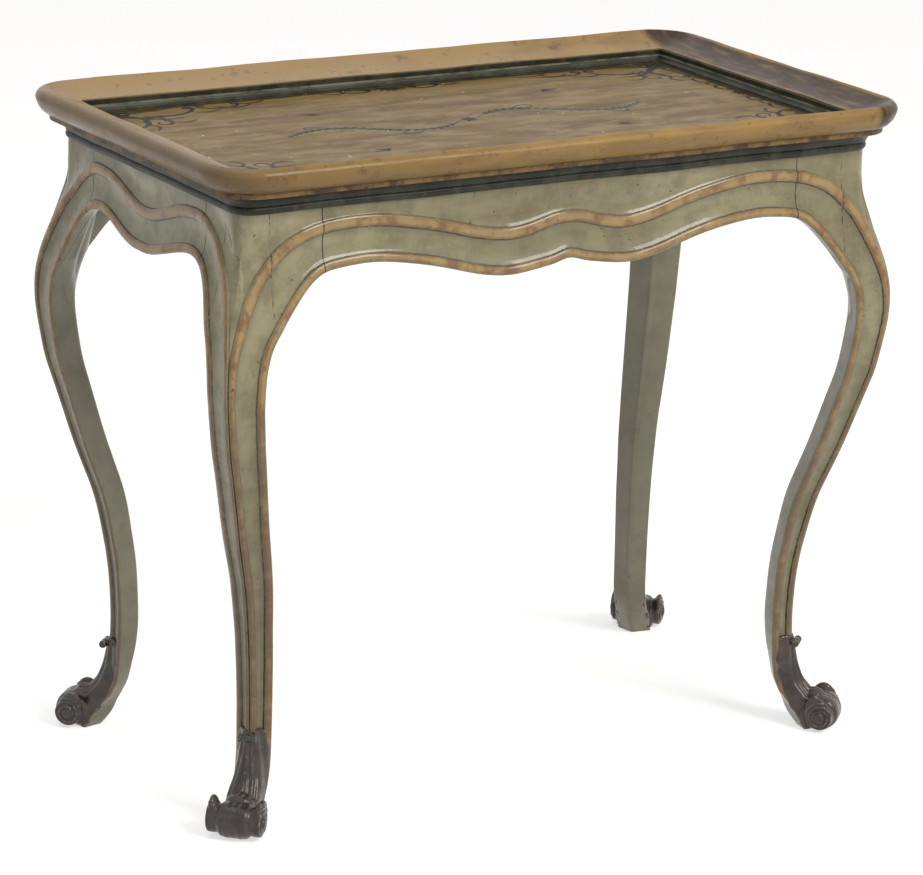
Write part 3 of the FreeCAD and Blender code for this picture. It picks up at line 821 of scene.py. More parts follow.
def feed(tree: Tree, socket: Socket, value: object) -> None:
    """Sets a socket to a value or links it to another socket.

    Args:
        tree: The tree of both.
        socket: The socket that is fed.
        value: A node's first output, a socket, a number, a vector or a colour of three parts.
    """
    if isinstance(value, bpy.types.Node):
        value = value.outputs[0]
    if isinstance(value, Socket):
        tree.links.new(value, socket)
    elif isinstance(value, tuple) and len(value) == 3 and socket.type == "RGBA":
        socket.default_value = (*value, 1.0)
    else:
        socket.default_value = value


def add_node(tree: Tree, kind: str, inputs: Dict[object, object], **settings: object) -> bpy.types.Node:
    """Adds a node with its settings and its inputs.

    Args:
        tree: The tree that it joins.
        kind: The node's type.
        inputs: A socket or a value for each input, by the input's name or number.
        **settings: Values for the node's own properties, which are set first.

    Returns:
        The node.
    """
    node = tree.nodes.new(kind)
    for name, value in settings.items():
        setattr(node, name, value)
    for key, value in inputs.items():
        feed(tree, node.inputs[key], value)
    return node


class Shade:
    """A material under construction, with short calls for the nodes that the finishes need."""

    def __init__(self, name: str) -> None:
        """Starts a material with one Principled shader.

        Args:
            name: Name of the material.
        """
        self.material = bpy.data.materials.new(name)
        self.material.use_nodes = True
        self.tree = self.material.node_tree
        self.shader = self.tree.nodes["Principled BSDF"]
        self.coords = self._add("ShaderNodeTexCoord", {}).outputs["Object"]

    def _add(self, kind: str, inputs: Dict[object, object], **settings: object) -> bpy.types.Node:
        """Adds a node to the material's tree."""
        return add_node(self.tree, kind, inputs, **settings)

    def math(self, operation: str, *values: object, clamp: bool = False) -> Socket:
        """Adds a Math node."""
        inputs = dict(enumerate(values))
        return self._add("ShaderNodeMath", inputs, operation=operation, use_clamp=clamp).outputs[0]

    def times(self, first: object, second: object) -> Socket:
        """Multiplies two values."""
        return self.math("MULTIPLY", first, second)

    def plus(self, first: object, second: object) -> Socket:
        """Adds two values."""
        return self.math("ADD", first, second)

    def minus(self, first: object, second: object) -> Socket:
        """Takes the second value from the first."""
        return self.math("SUBTRACT", first, second)

    def size(self, value: object) -> Socket:
        """Leaves out a value's sign."""
        return self.math("ABSOLUTE", value)

    def swing(self, pattern: object, width: float) -> Socket:
        """Makes a pattern swing about zero."""
        return self.times(self.minus(pattern, 0.5), width)

    def ease(self, value: object, low: float, high: float, start: float = 0.0, end: float = 1.0) -> Socket:
        """Maps a value smoothly from the range low to high on start to end."""
        inputs = dict(enumerate((value, low, high, start, end)))
        return self._add("ShaderNodeMapRange", inputs, interpolation_type="SMOOTHSTEP").outputs[0]

    def noise(
        self, scale: float, detail: float = 4.0, stretch: Triple = (1, 1, 1), rough: float = 0.55,
        warp: float = 0.0, seed: Triple = (0, 0, 0)
    ) -> Socket:
        """Adds a noise pattern on the object's coordinates.

        Args:
            scale: Cells per metre.
            detail: Number of finer layers.
            stretch: Scale along each axis.
            rough: Strength of the finer layers.
            warp: How much the pattern is twisted.
            seed: Shift of the pattern.

        Returns:
            The pattern, about 0.3 to 0.7.
        """
        place = self._add("ShaderNodeMapping", {"Vector": self.coords, "Scale": stretch, "Location": seed})
        return self._add("ShaderNodeTexNoise", {
            "Vector": place, "Scale": scale, "Detail": detail, "Roughness": rough, "Distortion": warp,
        }).outputs["Fac"]

    def mix(self, share: object, first: object, second: object) -> Socket:
        """Mixes two colours."""
        return self._add("ShaderNodeMix", {0: share, 6: first, 7: second}, data_type="RGBA").outputs[2]

    def layers(self, colour: object, *coats: Tuple[object, object]) -> Socket:
        """Lays coats over a colour.

        Args:
            colour: What lies under them.
            *coats: Share and colour of each.

        Returns:
            The colour that shows.
        """
        for share, coat in coats:
            colour = self.mix(share, colour, coat)
        return colour

    def attribute(self, name: str) -> Socket:
        """Reads a number stored on the piece's points."""
        return self._add("ShaderNodeAttribute", {}, attribute_name=name).outputs["Fac"]

    def axes(self) -> Tuple[Socket, Socket, Socket]:
        """Splits the object's coordinates."""
        node = self._add("ShaderNodeSeparateXYZ", {0: self.coords})
        return node.outputs[0], node.outputs[1], node.outputs[2]

    def bump(self, height: object, distance: float, strength: float) -> Socket:
        """Adds a bump."""
        inputs = {"Strength": strength, "Distance": distance, "Height": height}
        return self._add("ShaderNodeBump", inputs).outputs[0]

    def finish(
        self, colour: object, roughness: object, normal: object = None, specular: float = 0.5,
        coat: float = 0.0, coat_roughness: float = 0.2
    ) -> Material:
        """Connects the shader.

        Args:
            colour: Base colour.
            roughness: Roughness.
            normal: Bumped normal.
            specular: Specular level.
            coat: Weight of the varnish coat.
            coat_roughness: Roughness of the varnish coat.

        Returns:
            The material.
        """
        values = {
            "Base Color": colour, "Roughness": roughness, "Specular IOR Level": specular,
            "Coat Weight": coat, "Coat Roughness": coat_roughness,
        }
        if normal is not None:
            values["Normal"] = normal
        for name, value in values.items():
            feed(self.tree, self.shader.inputs[name], value)
        return self.material


def srgb(red: int, green: int, blue: int) -> Colour:
    """Turns a colour of 0 to 255 parts into the linear values that shaders take."""
    parts = (red / 255, green / 255, blue / 255)
    return tuple(c / 12.92 if c <= 0.04045 else ((c + 0.055) / 1.055) ** 2.4 for c in parts)


@dataclass(frozen=True)
class FramePaint:
    """Grey-green paint with ochre beads, cracks at joints, painted bead highlights and painted shade in
    hollows.
    """

    light: Colour = srgb(160, 153, 117)
    mid: Colour = srgb(138, 131, 98)
    dark: Colour = srgb(98, 91, 66)
    ochre: Colour = srgb(158, 131, 84)
    ochre_highlight: Colour = srgb(186, 158, 106)
    ochre_dark: Colour = srgb(122, 97, 60)
    ochre_worn: Colour = srgb(104, 79, 50)
    russet: Colour = srgb(122, 84, 52)
    line: Colour = srgb(52, 39, 26)
    low_left_brown: Colour = srgb(86, 76, 54)
    shade: Colour = srgb(132, 135, 126)
    sawn_dark: Colour = srgb(112, 88, 60)
    sawn_light: Colour = srgb(146, 118, 82)
    joint_x: Pair = (0.290, 0.350)
    joint_y: Pair = (0.130, 0.170)
    crack_foot: Pair = (0.515, 0.545)
    # Heights of the painted shade under the rim.
    under_rim: Pair = (0.655, 0.672)
    inner_gap: Pair = (40.0, 55.0)
    leg_inset: float = 0.0166

    def material(self) -> Material:
        """Builds the material.

        Returns:
            The finished material.
        """
        s = Shade("frame_paint")
        x, y, z = s.axes()
        gap, weight, relief = s.attribute("bead_gap"), s.attribute("line_weight"), s.attribute("relief")
        cloud = s.noise(4.0, 4.0, warp=0.4)
        mottle = s.noise(30.0, 7.0, rough=0.68)
        streak = s.noise(26.0, 6.0, stretch=(0.25, 0.25, 2.0), rough=0.6)
        stains = s.noise(24.0, 8.0, rough=0.72, seed=(3.1, 0.4, 1.7))
        ground = s.layers(
            s.mix(s.ease(cloud, 0.34, 0.66), self.mid, self.light),
            (s.ease(mottle, 0.34, 0.60, 0.55, 0.0), self.dark),
            (s.ease(streak, 0.54, 0.70, 0.0, 0.40), self.ochre_dark),
            (s.ease(stains, 0.60, 0.72, 0.0, 0.65), self.ochre_dark),
        )
        patches = s.noise(48.0, 6.0, rough=0.65, seed=(7, 1, 2))
        russet = s.noise(34.0, 7.0, stretch=(1.0, 1.0, 0.8), rough=0.7, seed=(0.6, 8, 3))
        beads = s.layers(
            s.mix(s.ease(patches, 0.36, 0.62), self.ochre_dark, self.ochre),
            # Painted highlight on each bead's crown, where the gilding is also rubbed lighter.
            (s.ease(gap, -2.2, -4.6, 0.0, 0.5), self.ochre_highlight),
            (s.ease(russet, 0.48, 0.62, 0.0, 0.80), self.russet),
            (s.times(s.ease(z, 0.56, 0.36), s.ease(streak, 0.34, 0.58, 0.35, 0.85)), self.ochre_worn),
        )
        edge = s.plus(gap, s.swing(s.noise(210.0, 3.0), 2.4))
        broken = s.ease(s.noise(60.0, 4.0, seed=(1, 5, 9)), 0.34, 0.56, 0.4, 1.0)
        # Painted shade: a broken dark line in the crease along each bead's edge.
        bead_edge_shade = s.times(s.ease(s.size(s.minus(edge, 0.1)), 1.1, 0.2), broken)
        # Painted shade in the hollows within 9 mm of the beads.
        bead_hollow_shade = s.times(s.ease(gap, 9.0, 0.0), s.ease(gap, -0.2, 0.4))
        rubbed = s.ease(s.noise(90.0, 6.0, seed=(2, 2, 7)), 0.42, 0.60, 0.1, 0.8)
        crack = s.times(self._cracks(s, x, y), s.ease(z, *self.crack_foot))
        crack = s.math("MAXIMUM", s.times(crack, s.ease(gap, 50.0, 20.0)), self._underside_crack(s))
        specks = s.ease(s.noise(190.0, 2.0, rough=0.4, seed=(4, 4, 4)), 0.72, 0.76)
        # Darker towards the floor, and more strongly towards the left.
        low_left_darkening = s.times(s.ease(z, 0.48, 0.16), s.ease(cloud, 0.32, 0.60, 0.12, 0.48))
        colour = s.layers(
            s.mix(s.ease(edge, -0.2, -1.4), ground, beads),
            # Painted shade along the beads' edges.
            (s.times(bead_edge_shade, weight), self.line),
            # Painted shade in the hollows beside the beads.
            (s.times(bead_hollow_shade, s.times(weight, 0.4)), self.dark),
            # Painted shade in creases.
            (s.ease(relief, -0.05, -0.22, 0.0, 0.65), self.line),
            (s.times(s.ease(relief, 0.12, 0.30), rubbed), self.ochre_dark),
            (s.attribute("bare_wood"), s.mix(s.ease(streak, 0.38, 0.62), self.sawn_dark, self.sawn_light)),
            (crack, self.line),
            (s.times(specks, 0.75), self.line),
            # Painted shade under the rim.
            (s.times(s.ease(z, *self.under_rim), 0.5), self.line),
            # The inner faces and undersides tinted grey: painted shade.
            (s.ease(gap, *self.inner_gap, 0.0, 0.45), self.shade),
            (s.times(low_left_darkening, s.ease(x, 0.30, -0.20, 0.35, 1.0)), self.low_left_brown),
        )
        height = s.plus(s.times(streak, 0.6), s.times(s.noise(420.0, 4.0), 0.25))
        height = s.minus(height, s.plus(crack, s.times(specks, 0.4)))
        roughness = s.ease(mottle, 0.35, 0.65, 0.46, 0.28)
        bump = s.bump(height, 0.0007, 0.55)
        return s.finish(colour, roughness, bump, specular=0.3, coat=0.5, coat_roughness=0.09)

    def _cracks(self, s: Shade, x: Socket, y: Socket) -> Socket:
        """Draws the wandering cracks at the joints of brackets and legs.

        Args:
            s: The material.
            x: Place along the table.
            y: Place across the table.

        Returns:
            1 on a crack and 0 beside it.
        """
        wander = s.swing(s.noise(22.0, 5.0, rough=0.7, seed=(9, 2, 0)), 0.007)
        found = None
        for axis, places in ((x, self.joint_x), (y, self.joint_y)):
            for index, place in enumerate(places):
                off = s.plus(s.minus(s.size(axis), place), wander)
                line = s.ease(s.size(off), 0.0009, 0.0003)
                if index:
                    line = s.times(line, s.ease(s.noise(30.0, 3.0, seed=(2, 8, 5)), 0.47, 0.53))
                found = line if found is None else s.math("MAXIMUM", found, line)
        return found

    def _underside_crack(self, s: Shade) -> Socket:
        """Draws the slanting crack on the brackets' undersides at the short sides.

        Args:
            s: The material.

        Returns:
            1 on the crack and 0 beside it.
        """
        x, y, z = s.axes()
        inset = s.minus(HALF_LENGTH - self.leg_inset, s.size(x))
        slant = s.times(s.minus(z, 0.528), 0.36)
        wander = s.swing(s.noise(40.0, 3.0), 0.004)
        off = s.size(s.plus(s.minus(inset, slant), wander))
        inside = s.ease(s.attribute("bead_gap"), *self.inner_gap)
        there = s.times(inside, s.ease(s.size(y), 0.132, 0.138))
        return s.times(s.times(s.ease(off, 0.0008, 0.0003), there), s.ease(z, 0.520, 0.530))


@dataclass(frozen=True)
class RimPaint:
    """Tan and ochre rim paint, golden in front, duller at the left, umber at the right: partly painted light
    by side.
    """

    gold: Colour = srgb(160, 130, 76)
    tan: Colour = srgb(142, 113, 70)
    grey: Colour = srgb(122, 104, 80)
    pale: Colour = srgb(170, 142, 104)
    umber: Colour = srgb(50, 31, 15)
    dull: Colour = srgb(104, 80, 50)
    line: Colour = srgb(62, 44, 28)
    back_rail: Pair = (0.18, 0.20)
    left_rail: Pair = (-0.360, -0.415)
    right_rail: Pair = (0.366, 0.378)
    right_edge: Pair = (0.4115, 0.4070)
    # Heights of the painted shade at the rim's foot.
    foot: Pair = (0.6960, 0.6925)

    def material(self) -> Material:
        """Builds the material.

        Returns:
            The finished material.
        """
        s = Shade("rim_paint")
        x, y, z = s.axes()
        streak = s.noise(12.0, 7.0, stretch=(1.0, 1.0, 6.0), rough=0.62, warp=0.4)
        mottle = s.noise(48.0, 6.0, rough=0.65)
        bands = s.noise(30.0, 6.0, stretch=(5.0, 0.7, 1.0), rough=0.6, seed=(1, 7, 3))
        # Painted light: the back rail made lighter, more so towards the left.
        back_rail_light = s.times(s.ease(y, *self.back_rail), s.ease(x, 0.36, -0.10, 0.05, 0.75))
        # Duller towards the front left: partly the rim's own tone, partly painted shade.
        front_left_shade = s.times(s.ease(x, 0.0, -0.30, 0.0, 0.34), s.ease(y, 0.0, -0.15))
        # The right rail darker umber in streaks: partly its own streaky paint, partly painted shade.
        right = s.times(s.ease(x, *self.right_rail), s.ease(x, *self.right_edge))
        specks = s.ease(s.noise(230.0, 2.0, rough=0.4, seed=(2, 4, 1)), 0.72, 0.77)
        colour = s.layers(
            s.mix(s.ease(streak, 0.38, 0.62), self.tan, self.gold),
            (back_rail_light, self.pale),
            # Duller at the front left and greyer on the left rail: partly painted shade.
            (front_left_shade, self.dull),
            (s.times(s.ease(x, *self.left_rail), 0.75), self.grey),
            (s.times(right, s.ease(bands, 0.34, 0.54, 0.60, 0.96)), self.umber),
            (s.ease(mottle, 0.55, 0.72, 0.0, 0.45), self.umber),
            # Painted shade in the crevice at the rim's foot.
            (s.times(s.ease(z, *self.foot), 0.6), self.line),
            (s.times(specks, 0.7), self.line),
        )
        height = s.plus(s.times(streak, 0.5), s.times(s.noise(300.0, 3.0), 0.2))
        roughness = s.ease(mottle, 0.35, 0.65, 0.42, 0.26)
        bump = s.bump(height, 0.0006, 0.5)
        return s.finish(colour, roughness, bump, specular=0.2, coat=0.08, coat_roughness=0.15)


@dataclass(frozen=True)
class MouldingPaint:
    """Dark green-black paint of the mouldings, rubbed to brown, chipped to the pale ground, painted shade in
    creases.
    """

    dark: Colour = srgb(36, 37, 30)
    green: Colour = srgb(60, 63, 50)
    brown: Colour = srgb(78, 60, 42)
    pale: Colour = srgb(134, 134, 108)
    tan: Colour = srgb(136, 108, 68)
    # Colour of the painted shade in creases.
    crevice_shade: Colour = srgb(30, 28, 22)
    chip: Colour = srgb(196, 188, 166)
    fillet_foot: Pair = (0.6862, 0.6876)
    fillet_top: Pair = (0.6928, 0.6920)
    step_height: float = 0.6990

    def material(self) -> Material:
        """Builds the material.

        Returns:
            The finished material.
        """
        s = Shade("moulding_paint")
        _, _, z = s.axes()
        relief = s.attribute("relief")
        streak = s.noise(40.0, 6.0, rough=0.65)
        patch = s.ease(s.noise(70.0, 5.0, seed=(3, 3, 3)), 0.60, 0.70, 0.0, 0.8)
        rubbed = s.ease(s.noise(55.0, 6.0, seed=(8, 1, 1)), 0.40, 0.60, 0.15, 1.0)
        crest = s.times(s.ease(relief, 0.10, 0.28), rubbed)
        fillet = s.times(s.ease(z, *self.fillet_foot), s.ease(z, *self.fillet_top))
        tanned = s.mix(s.ease(streak, 0.40, 0.60), self.brown, self.tan)
        step = s.ease(s.size(s.minus(z, self.step_height)), 0.0012, 0.0005)
        worn = s.ease(s.noise(36.0, 5.0, rough=0.65, seed=(4, 6, 1)), 0.38, 0.54, 0.25, 0.85)
        chips = s.ease(s.noise(70.0, 7.0, rough=0.62, warp=0.6, seed=(6, 0, 2)), 0.715, 0.730)
        colour = s.layers(
            s.mix(s.ease(streak, 0.42, 0.62), self.dark, self.green),
            (patch, self.brown),
            (s.times(crest, 0.7), self.pale),
            # Painted shade in creases.
            (s.ease(relief, -0.04, -0.22, 0.0, 0.8), self.crevice_shade),
            (s.times(fillet, 0.9), tanned),
            (s.times(step, worn), self.pale),
            (chips, self.chip),
        )
        height = s.minus(s.times(streak, 0.4), chips)
        return s.finish(colour, 0.42, s.bump(height, 0.0006, 0.6), specular=0.22, coat=0.05)


@dataclass(frozen=True)
class TrayPaint:
    """Tan tray floor with dark streaks, a painted border and sprigs."""

    tan: Colour = srgb(128, 106, 62)
    gold: Colour = srgb(144, 119, 68)
    umber: Colour = srgb(102, 78, 42)
    wash: Colour = srgb(50, 48, 30)
    ink: Colour = srgb(20, 22, 17)
    bare: Colour = srgb(138, 108, 74)
    chip: Colour = srgb(208, 200, 184)

    def material(self) -> Material:
        """Builds the material.

        Returns:
            The finished material.
        """
        s = Shade("tray_paint")
        _, _, z = s.axes()
        streak = s.noise(7.0, 9.0, stretch=(0.55, 4.5, 1.0), rough=0.66, warp=0.35)
        mottle = s.noise(30.0, 7.0, stretch=(0.7, 1.6, 1.0), rough=0.68)
        wear = s.noise(45.0, 7.0, rough=0.72, seed=(5, 3, 0))
        fine_wear = s.noise(170.0, 5.0, rough=0.7, seed=(1, 3, 6))
        band = s.plus(s.attribute("border_gap"), s.swing(wear, 16.0))
        ink = s.plus(s.attribute("ink_gap"), s.swing(fine_wear, 1.8))
        glow = s.ease(s.attribute("glow_gap"), 0.5, -0.3)
        colour = s.layers(
            s.mix(s.ease(streak, 0.34, 0.62), self.umber, self.tan),
            (s.ease(mottle, 0.46, 0.66, 0.0, 0.7), self.gold),
            (s.times(s.ease(band, 1.5, -1.5), s.ease(fine_wear, 0.32, 0.54, 0.50, 0.92)), self.wash),
            (s.times(glow, s.ease(wear, 0.40, 0.56, 0.1, 0.8)), self.gold),
            (s.times(s.ease(ink, 0.40, -0.30), s.ease(wear, 0.30, 0.50, 0.70, 1.0)), self.ink),
            (s.ease(s.noise(95.0, 2.0, rough=0.35, seed=(6, 2, 2)), 0.755, 0.772), self.chip),
            (s.ease(z, SEAT_HEIGHT - 0.001, SEAT_HEIGHT - 0.002), self.bare),
        )
        height = s.plus(s.times(streak, 0.5), s.times(s.noise(260.0, 3.0), 0.2))
        roughness = s.ease(mottle, 0.35, 0.65, 0.44, 0.32)
        return s.finish(colour, roughness, s.bump(height, 0.0005, 0.5), specular=0.1)


@dataclass(frozen=True)
class ToePaint:
    """Near-black brown of the carved toes, with red-brown patches, rubbed pale edges and painted shade in
    creases.
    """

    black: Colour = srgb(48, 43, 41)
    brown: Colour = srgb(78, 62, 54)
    green: Colour = srgb(68, 69, 62)
    crease_shade: Colour = srgb(26, 21, 19)
    grey: Colour = srgb(168, 158, 138)

    def material(self) -> Material:
        """Builds the material.

        Returns:
            The finished material.
        """
        s = Shade("toe_paint")
        relief = s.attribute("relief")
        patch = s.noise(60.0, 6.0, rough=0.65)
        rubbed = s.times(s.ease(relief, 0.06, 0.22), s.ease(s.noise(170.0, 5.0, seed=(2, 1, 5)), 0.50, 0.62))
        colour = s.layers(
            s.mix(s.ease(patch, 0.40, 0.62), self.black, self.brown),
            (s.ease(s.noise(38.0, 5.0, seed=(5, 1, 3)), 0.52, 0.66, 0.0, 0.8), self.green),
            # Painted shade in creases.
            (s.ease(relief, -0.02, -0.16, 0.0, 0.8), self.crease_shade),
            (s.times(rubbed, 0.85), self.grey),
        )
        height = s.plus(s.noise(260.0, 4.0), s.times(s.noise(90.0, 3.0), 1.4))
        roughness = s.ease(patch, 0.4, 0.6, 0.40, 0.26)
        bump = s.bump(height, 0.0007, 0.6)
        return s.finish(colour, roughness, bump, specular=0.3, coat=0.35, coat_roughness=0.12)


@dataclass(frozen=True)
class BareWood:
    """Sawn softwood of the hidden blocks, pegs and dowels."""

    pale: Colour = srgb(150, 118, 78)
    dark: Colour = srgb(96, 70, 44)

    def material(self) -> Material:
        """Builds the material.

        Returns:
            The finished material.
        """
        s = Shade("bare_wood")
        grain = s.noise(60.0, 6.0, stretch=(0.3, 0.3, 3.0), rough=0.6)
        colour = s.mix(s.ease(grain, 0.38, 0.62), self.dark, self.pale)
        return s.finish(colour, 0.7, s.bump(grain, 0.0005, 0.5))


class MouldingSweep:
    """A Geometry Nodes tree that sweeps a section along a straight run or round a corner."""

    inputs = {
        "Run Length": "NodeSocketFloat", "Corner Radius": "NodeSocketFloat", "Start Angle": "NodeSocketFloat",
        "Sweep Angle": "NodeSocketFloat", "Steps": "NodeSocketInt", "Turned": "NodeSocketBool",
        "Material": "NodeSocketMaterial",
    }

    def __init__(self) -> None:
        """Builds the tree once."""
        self.tree = bpy.data.node_groups.new("moulding_sweep", "GeometryNodeTree")
        face = self.tree.interface
        face.new_socket("Geometry", in_out="INPUT", socket_type="NodeSocketGeometry")
        self.keys = {
            name: face.new_socket(name, in_out="INPUT", socket_type=kind).identifier
            for name, kind in self.inputs.items()
        }
        face.new_socket("Geometry", in_out="OUTPUT", socket_type="NodeSocketGeometry")
        add = partial(add_node, self.tree)
        given = add("NodeGroupInput", {}).outputs
        ends = []
        for share in (-0.5, 0.5):
            half = add("ShaderNodeMath", {0: given["Run Length"], 1: share}, operation="MULTIPLY")
            ends.append(add("ShaderNodeCombineXYZ", {"Y": half}))
        line = add("GeometryNodeCurvePrimitiveLine", {"Start": ends[0], "End": ends[1]})
        run = add("GeometryNodeResampleCurve", {"Curve": line, "Count": given["Steps"]})
        turn = add("GeometryNodeCurveArc", {
            "Resolution": given["Steps"], "Radius": given["Corner Radius"],
            "Start Angle": given["Start Angle"], "Sweep Angle": given["Sweep Angle"],
        })
        paths = {"Switch": given["Turned"], "False": run, "True": turn}
        path = add("GeometryNodeSwitch", paths, input_type="GEOMETRY")
        upright = add("GeometryNodeSetCurveNormal", {"Curve": path}, mode="Z_UP")
        section = add("GeometryNodeMeshToCurve", {"Mesh": given["Geometry"]})
        curves = {"Curve": upright, "Profile Curve": section, "Fill Caps": True}
        real = add("GeometryNodeRealizeInstances", {"Geometry": add("GeometryNodeCurveToMesh", curves)})
        painted = add("GeometryNodeSetMaterial", {"Geometry": real, "Material": given["Material"]})
        add("NodeGroupOutput", {0: painted})

    def run(
        self, section: Array, material: Material, length: float = 0.0, radius: float = 0.0,
        start: float = 0.0, sweep: float = 0.0, steps: int = 2
    ) -> Mesh:
        """Sweeps a section and returns the mesh.

        Args:
            section: Insets and heights of the section's corners.
            material: The material that the tree sets.
            length: Length of a straight run.
            radius: Radius of the corner's outermost line, or 0 for a straight run.
            start: Angle at which the corner starts.
            sweep: Angle that it turns.
            steps: Number of stations.

        Returns:
            The swept mesh, with its height counted from the rim's seat.
        """
        count = len(section)
        outline = bpy.data.meshes.new("section")
        corners = [(-inset, -height, 0.0) for inset, height in section]
        outline.from_pydata(corners, [(i, (i + 1) % count) for i in range(count)], [])
        values = {
            "Run Length": length, "Corner Radius": max(radius, MM), "Start Angle": start,
            "Sweep Angle": sweep or MM, "Steps": steps, "Turned": radius > 0, "Material": material,
        }

        def setup(modifier: Modifier) -> None:
            """Gives the modifier the tree and its inputs."""
            modifier.node_group = self.tree
            for name, value in values.items():
                modifier[self.keys[name]] = value

        return modified(outline, "NODES", setup)


def arc_points(start: Pair, end: Pair, bulge: float, count: int) -> List[Pair]:
    """Gives points along a flat arc.

    Args:
        start: Inset and height of its start.
        end: Inset and height of its end.
        bulge: How far its middle stands off the chord, to the right of its heading.
        count: Number of steps.

    Returns:
        The points from start to end.
    """
    a, b = np.array(start), np.array(end)
    chord = b - a
    right = np.array([-chord[1], chord[0]]) / np.linalg.norm(chord)
    t = np.linspace(0.0, 1.0, count + 1)
    return [tuple(a + chord * s + right * bulge * 4 * s * (1 - s)) for s in t]


@dataclass(frozen=True)
class TrayTop:
    """The raised rim with its rounded corners, and the mouldings inside and under it."""

    corner_radius: float = 0.055
    rim_foot: Pair = (0.015, 0.0)
    rim_widest: Pair = (0.0, 0.020)
    rim_crest: Pair = (0.008, 0.028)
    rim_slope_end: Pair = (0.049, 0.014)
    board_inset: float = 0.040
    rim_sharp: float = 38.0
    moulding_sharp: float = 30.0
    rail_steps: int = 90
    moulding_steps: int = 60

    def rim_section(self) -> Array:
        """Draws the section of the rim: full outside, rounded crest and a hollow slope inside.

        Returns:
            Insets and heights of its corners.
        """
        points = arc_points(self.rim_foot, self.rim_widest, 0.0032, 8)
        points += arc_points(self.rim_widest, self.rim_crest, 0.0020, 6)[1:]
        points += arc_points(self.rim_crest, self.rim_slope_end, -0.0020, 12)[1:]
        points += [(self.rim_slope_end[0], 0.0)]
        return np.array(points)

    def inner_section(self) -> Array:
        """Draws the section of the stepped moulding inside the rim.

        Returns:
            Insets and heights of its corners.
        """
        inner = self.rim_slope_end[0]
        points = [(inner, 0.0), (inner, 0.0125), (inner + 0.0008, 0.0131), (inner + 0.0017, 0.0131)]
        points += [(inner + 0.0024, 0.0124), (inner + 0.0024, 0.0070), (inner + 0.0038, 0.0070)]
        points += arc_points((inner + 0.0038, 0.0070), (inner + 0.0084, 0.0016), -0.0012, 6)[1:]
        points += [(inner + 0.0084, 0.0)]
        return np.array(points)

    def under_section(self) -> Array:
        """Draws the section of the moulding under the rim: fillet, cove and bead.

        Returns:
            Insets and heights of its corners.
        """
        foot = self.rim_foot[0]
        points = [(foot, 0.0), (foot, -0.0046), (foot + 0.0004, -0.0050), (foot + 0.0026, -0.0050)]
        points += arc_points((foot + 0.0026, -0.0050), (0.0324, -0.0165), 0.0030, 10)[1:]
        points += arc_points((0.0342, -0.0165), (0.0342, -0.0250), -0.0022, 8)
        points += [(0.0350, -0.0250), (0.0350, -0.0199), (self.board_inset, -0.0199), (self.board_inset, 0.0)]
        return np.array(points)

    def build(self, sweep: MouldingSweep, rim: Material, moulding: Material) -> None:
        """Builds and dresses the rim and its mouldings.

        Args:
            sweep: The tree that sweeps the sections.
            rim: Material of the rim.
            moulding: Material of both mouldings.
        """
        rim_section, inner = self.rim_section(), self.inner_section()
        for side in Side:
            name = side.name.lower()
            straight = side.half_side - self.corner_radius
            rail = sweep.run(rim_section, rim, length=2 * straight, steps=self.rail_steps)
            self._dress([self._placed(rail, side)], "rim_rail_" + name, rim, "rim_wood", self.rim_sharp)
            length = 2 * (side.half_side - self.rim_slope_end[0])
            run = sweep.run(inner, moulding, length=length, steps=self.moulding_steps)
            self._mitre(run, side.half_side)
            parts = [self._placed(run, side)]
            self._dress(parts, "inner_moulding_" + name, moulding, "moulding_wood", self.moulding_sharp)
            parts = [self._placed(part, side) for part in self._under_parts(sweep, moulding, straight)]
            self._dress(parts, "under_moulding_" + name, moulding, "moulding_wood", self.moulding_sharp)
        for corner in Corner:
            turn = sweep.run(rim_section, rim, radius=self.corner_radius, sweep=math.pi / 2, steps=17)
            turn.transform(Matrix.Translation((-self.corner_radius, -self.corner_radius, SEAT_HEIGHT)))
            set_points(turn, corner.place(mesh_points(turn)))
            self._dress([turn], "rim_corner_" + corner.label, rim, "rim_wood", self.rim_sharp)

    def _under_parts(self, sweep: MouldingSweep, material: Material, straight: float) -> List[Mesh]:
        """Sweeps the moulding under one side: a straight run and half a corner at each end.

        Args:
            sweep: The tree that sweeps the section.
            material: Its material.
            straight: Half of the straight run.

        Returns:
            The three parts, drawn on the right-hand side.
        """
        under = self.under_section()
        parts = [sweep.run(under, material, length=2 * straight, steps=self.moulding_steps)]
        for sign, start in ((1, 0.0), (-1, -math.pi / 4)):
            turn = sweep.run(
                under, material, radius=self.corner_radius, start=start, sweep=math.pi / 4, steps=9
            )
            turn.transform(Matrix.Translation((-self.corner_radius, sign * straight, 0.0)))
            parts.append(turn)
        return parts

    def _mitre(self, mesh: Mesh, half_side: float) -> None:
        """Slants both ends of a straight run so that they meet the neighbours at 45 degrees.

        Args:
            mesh: The inner moulding of one side.
            half_side: Half of that side's length.
        """
        points = mesh_points(mesh)
        limit = half_side + points[:, 0]
        reach = half_side - self.rim_slope_end[0]
        points[:, 1] *= np.where(np.abs(points[:, 1]) > reach - 0.001, limit / reach, 1.0)
        set_points(mesh, points)

    @staticmethod
    def _placed(mesh: Mesh, side: Side) -> Mesh:
        """Moves a run to its side, at the height of the rim's seat."""
        set_points(mesh, side.place(mesh_points(mesh) + np.array([0.0, 0.0, SEAT_HEIGHT])))
        return mesh

